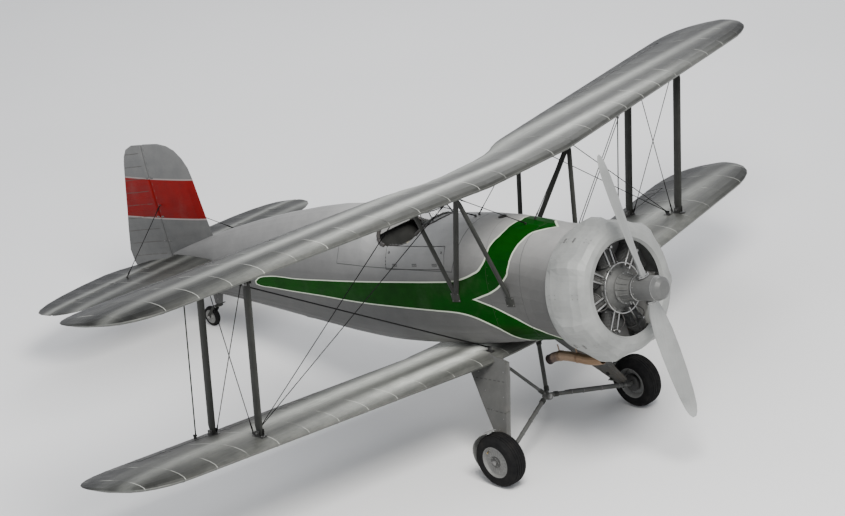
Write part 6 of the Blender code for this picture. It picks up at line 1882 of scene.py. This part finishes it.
# piping sewn round the front edge of each cushion, the harness and its buckles
hs = Batch()
loop = []
for k in range(40):
    t = 2 * math.pi * k / 40
    a, b = math.cos(t), math.sin(t)
    s = (abs(a) ** 6 + abs(b) ** 6) ** (-1 / 6)
    loop.append(Vector((0.172 * a * s, 1.4375 + 0.1165 * b * s, -0.0500)))
hs.tube(loop, 0.0026, 8, 1, closed=True)
loop = []
for k in range(40):
    t = 2 * math.pi * k / 40
    a, b = math.cos(t), math.sin(t)
    s = (abs(a) ** 6 + abs(b) ** 6) ** (-1 / 6)
    loop.append(Vector((0.170 * a * s, 1.5620, 0.1325 + 0.1610 * b * s)))
hs.tube(loop, 0.0026, 8, 1, closed=True)
for s in (-1, 1):
    # shoulder straps over the back of the seat, lap straps over the cushion
    hs.tube([(s * 0.075, 1.640, 0.236), (s * 0.074, 1.628, 0.300), (s * 0.073, 1.598, 0.326), (s * 0.072, 1.560, 0.300), (s * 0.071, 1.545, 0.200), (s * 0.066, 1.540, 0.090),
             (s * 0.052, 1.520, 0.010), (s * 0.034, 1.470, -0.026)], 0.0200, 8, 0, flat=0.10, ref=(1, 0, 0))
    hs.tube([(s * 0.178, 1.560, -0.040), (s * 0.150, 1.530, -0.022), (s * 0.100, 1.480, -0.022), (s * 0.040, 1.450, -0.024)], 0.0200, 8, 0, flat=0.10, ref=(0, 0.6, 0.25))
    hs.box((s * 0.064, 1.536, 0.075), (0.046, 0.006, 0.030), None, 2, 0.002)
    hs.box((s * 0.118, 1.497, -0.0200), (0.030, 0.046, 0.006), ((1, 0.5, 0), (-0.5, 1, 0), (0, 0, 1)), 2, 0.002)
hs.turn([(0.0, 0.0), (0.0, 0.030), (0.008, 0.030), (0.012, 0.025), (0.012, 0.0)], (0, 1.452, -0.032), (0, -0.15, 1), 28, 2)
hs.done("harness", [m_strap, m_leather, m_bright], "airframe", None, 45)
# bolts of the seat shell
sh = Batch()
for s in (-1, 1):
    for y, z in ((1.33, -0.105), (1.45, -0.108), (1.57, -0.108), (1.60, 0.05), (1.60, 0.20)):
        h = shoot("seat", (s * 0.30, y, z), (-s, 0, 0))
        if h:
            sh.dome(h[0], h[1], 0.0050, 0.0022, 8, 0)
    # rolled edge along the top of the side and the back
    edge = [Vector((s * 0.195, y, z)) for y, z in ((1.300, 0.0245), (1.400, 0.0650), (1.480, 0.0975), (1.560, 0.1300), (1.575, 0.2200), (1.600, 0.3190))]
    sh.tube(edge, 0.0088, 10, 1)
sh.rod((-0.198, 1.609, 0.3195), (0.198, 1.609, 0.3195), 0.0095, 12, m=1)
sh.done("seat_edges", [m_screw, m_seat], "airframe", None, 40)

# ------------------------------------------------------------------ hinges of the moving surfaces
def plate(b, node, p, d, along, size, m=0, screws=2, ms=1):
    """A small plate on the surface a ray meets, long side along a direction, with its screws."""
    h = shoot(node, p, d)
    if not h:
        return
    n = h[1]
    u = (Vector(along) - n * n.dot(Vector(along))).normalized()
    w = n.cross(u)
    b.box(h[0] + n * (size[2] * 0.5 - 0.0006), size, (u, w, n), m, size[2] * 0.25)
    for k in range(screws):
        t = (k + 0.5) / screws - 0.5
        b.dome(h[0] + n * (size[2] - 0.0008) + u * (t * size[0]), n, min(0.0030, size[1] * 0.26), 0.0013, 8, ms)


def edge_y(node, x, z0=None):
    """Front and rear of a surface where the plane at x cuts it."""
    ys = [p.y for pts, c in slices(node, (x, 0, 0), (1, 0, 0)) for p in pts]
    return (min(ys), max(ys)) if ys else None


SET = (0.046, 0.015, 0.0026)
for side, sg in (("left", 1), ("right", -1)):
    for lev in ("upper", "lower"):
        ail, wing = "%s_aileron_%s" % (lev, side), "%s_wing_%s" % (lev, side)
        W = UP if lev == "upper" else LO
        a, b = Batch(), Batch()
        for x in (1.62, 2.10, 2.58):
            e = edge_y(ail, sg * x)
            if not e:
                continue
            z = wing_line(x, W)[1]
            for up in (-1, 1):
                plate(a, ail, (sg * x, e[0] + 0.034, z + up * 0.4), (0, 0, -up), (0, 1, 0), SET)
                plate(b, wing, (sg * x, e[0] - 0.036, z + up * 0.4), (0, 0, -up), (0, 1, 0), SET)
        # drain eyelets along the rear edge, underneath
        for x in [r + 0.03 for r in RIBS if 0.7 < r < 1.3]:
            e = edge_y(wing, sg * x)
            if e:
                h = shoot(wing, (sg * x, e[1] - 0.045, wing_line(x, W)[1] - 0.4), (0, 0, 1))
                if h:
                    b.turn([(-0.0006, 0.0030), (-0.0006, 0.0078), (0.0014, 0.0070), (0.0016, 0.0034)], h[0], h[1], 16, 1)
        if a.v:
            a.done("hinges_" + ail, [m_fit, m_screw], ail, "strut_paint", 38)
        if b.v:
            b.done("hinges_" + wing, [m_fit, m_screw], "airframe", "strut_paint", 38)

e1, e2 = Batch(), Batch()
for x in (-1.05, -0.70, -0.36, 0.36, 0.70, 1.05):
    e = edge_y("elevator", x)
    if not e:
        continue
    for up in (-1, 1):
        plate(e1, "elevator", (x, e[0] + 0.032, 0.25 + up * 0.5), (0, 0, -up), (0, 1, 0), (0.040, 0.013, 0.0024))
        plate(e2, "tailplane", (x, e[0] - 0.036, 0.25 + up * 0.5), (0, 0, -up), (0, 1, 0), (0.040, 0.013, 0.0024))
if e1.v:
    e1.done("hinges_elevator", [m_fit, m_screw], "elevator", "strut_paint", 38)
if e2.v:
    e2.done("hinges_tailplane", [m_fit, m_screw], "airframe", "strut_paint", 38)

r1, r2 = Batch(), Batch()
for z in (0.39, 0.60, 0.93):
    pts = [p.y for q, c in slices("rudder", (0, 4.5, z), (0, 0, 1)) for p in q]
    if not pts:
        continue
    y0 = min(pts)
    for s in (-1, 1):
        plate(r1, "rudder", (s * 0.4, y0 + 0.030, z), (-s, 0, 0), (0, 1, 0), (0.036, 0.012, 0.0022))
        plate(r2, "fin", (s * 0.4, y0 - 0.032, z), (-s, 0, 0), (0, 1, 0), (0.036, 0.012, 0.0022))
for s in (-1, 1):
    # horn plates low on the rudder
    plate(r1, "rudder", (s * 0.4, 4.545, 0.115), (-s, 0, 0), (0, 1, 0.1), (0.070, 0.034, 0.0034), 0, 3)
if r1.v:
    r1.done("hinges_rudder", [m_fit, m_screw], "rudder", "strut_paint", 38)
if r2.v:
    r2.done("hinges_fin", [m_fit, m_screw], "airframe", "strut_paint", 38)

# ------------------------------------------------------------------ small things on the body
bd = Batch()
# fuel filler on the deck ahead of the screen, with its hinge and scupper ring
h = shoot("fuselage", (0.0, 0.42, 1.2), (0, 0, -1))
if h:
    bd.turn([(-0.0008, 0.034), (-0.0008, 0.050), (0.0022, 0.048), (0.0030, 0.036)], h[0], h[1], 36, 0)
    bd.turn([(0.0, 0.0), (0.0, 0.031), (0.0100, 0.0315), (0.0135, 0.026), (0.0145, 0.0)], h[0], h[1], 36, 1)
    for k in range(8):
        t = 2 * math.pi * k / 8
        bd.dome(h[0] + Vector((math.cos(t) * 0.043, math.sin(t) * 0.043, 0.0016)), h[1], 0.0026, 0.0012, 8, 2)
    bd.box(h[0] + h[1] * 0.0165, (0.050, 0.0080, 0.0045), None, 2, 0.001)
# lifting tubes through the rear body and the step below the left flap
for s in (-1, 1):
    q = shoot("fuselage", (s * 0.6, 3.62, 0.10), (-s, 0, 0))
    if q:
        bd.turn([(-0.004, 0.0085), (-0.004, 0.0150), (0.0030, 0.0140), (0.0040, 0.0095)], q[0], q[1], 28, 2)
q = shoot("fuselage", (0.9, 1.50, -0.06), (-1, 0, 0))
if q:
    n = q[1]
    u = (Vector((0, 1, 0)) - n * n.y).normalized()
    w = n.cross(u)
    bd.turn([(-0.002, 0.026), (-0.002, 0.044), (0.0024, 0.042), (0.0034, 0.030)], q[0], n, 32, 0)
    bd.turn([(0.0, 0.0), (0.0, 0.029), (0.0012, 0.028), (0.0012, 0.0)], q[0], n, 32, 1)
# inspection discs under the belly and behind the firewall, each with a ring of screws
for x, y, z, d in ((0.9, 0.20, -0.16, (-1, 0, 0)), (-0.16, 2.70, -0.9, (0, 0, 1)), (0.16, 2.70, -0.9, (0, 0, 1)), (-0.12, 0.60, -0.95, (0, 0, 1)), (0.12, 0.60, -0.95, (0, 0, 1))):
    q = shoot("fuselage", (x, y, z), d)
    if q:
        n = q[1]
        u = frame_of(n)
        bd.turn([(-0.0010, 0.0), (-0.0010, 0.040), (0.0012, 0.0395), (0.0020, 0.036), (0.0020, 0.0)], q[0], n, 36, 0)
        for k in range(6):
            t = 2 * math.pi * k / 6
            bd.dome(q[0] + n * 0.0016 + u[0] * (0.032 * math.cos(t)) + u[1] * (0.032 * math.sin(t)), n, 0.0030, 0.0013, 8, 2)
bd.done("body_fittings", [m_hull, m_fit, m_screw], "airframe", "hull_paint", 38)
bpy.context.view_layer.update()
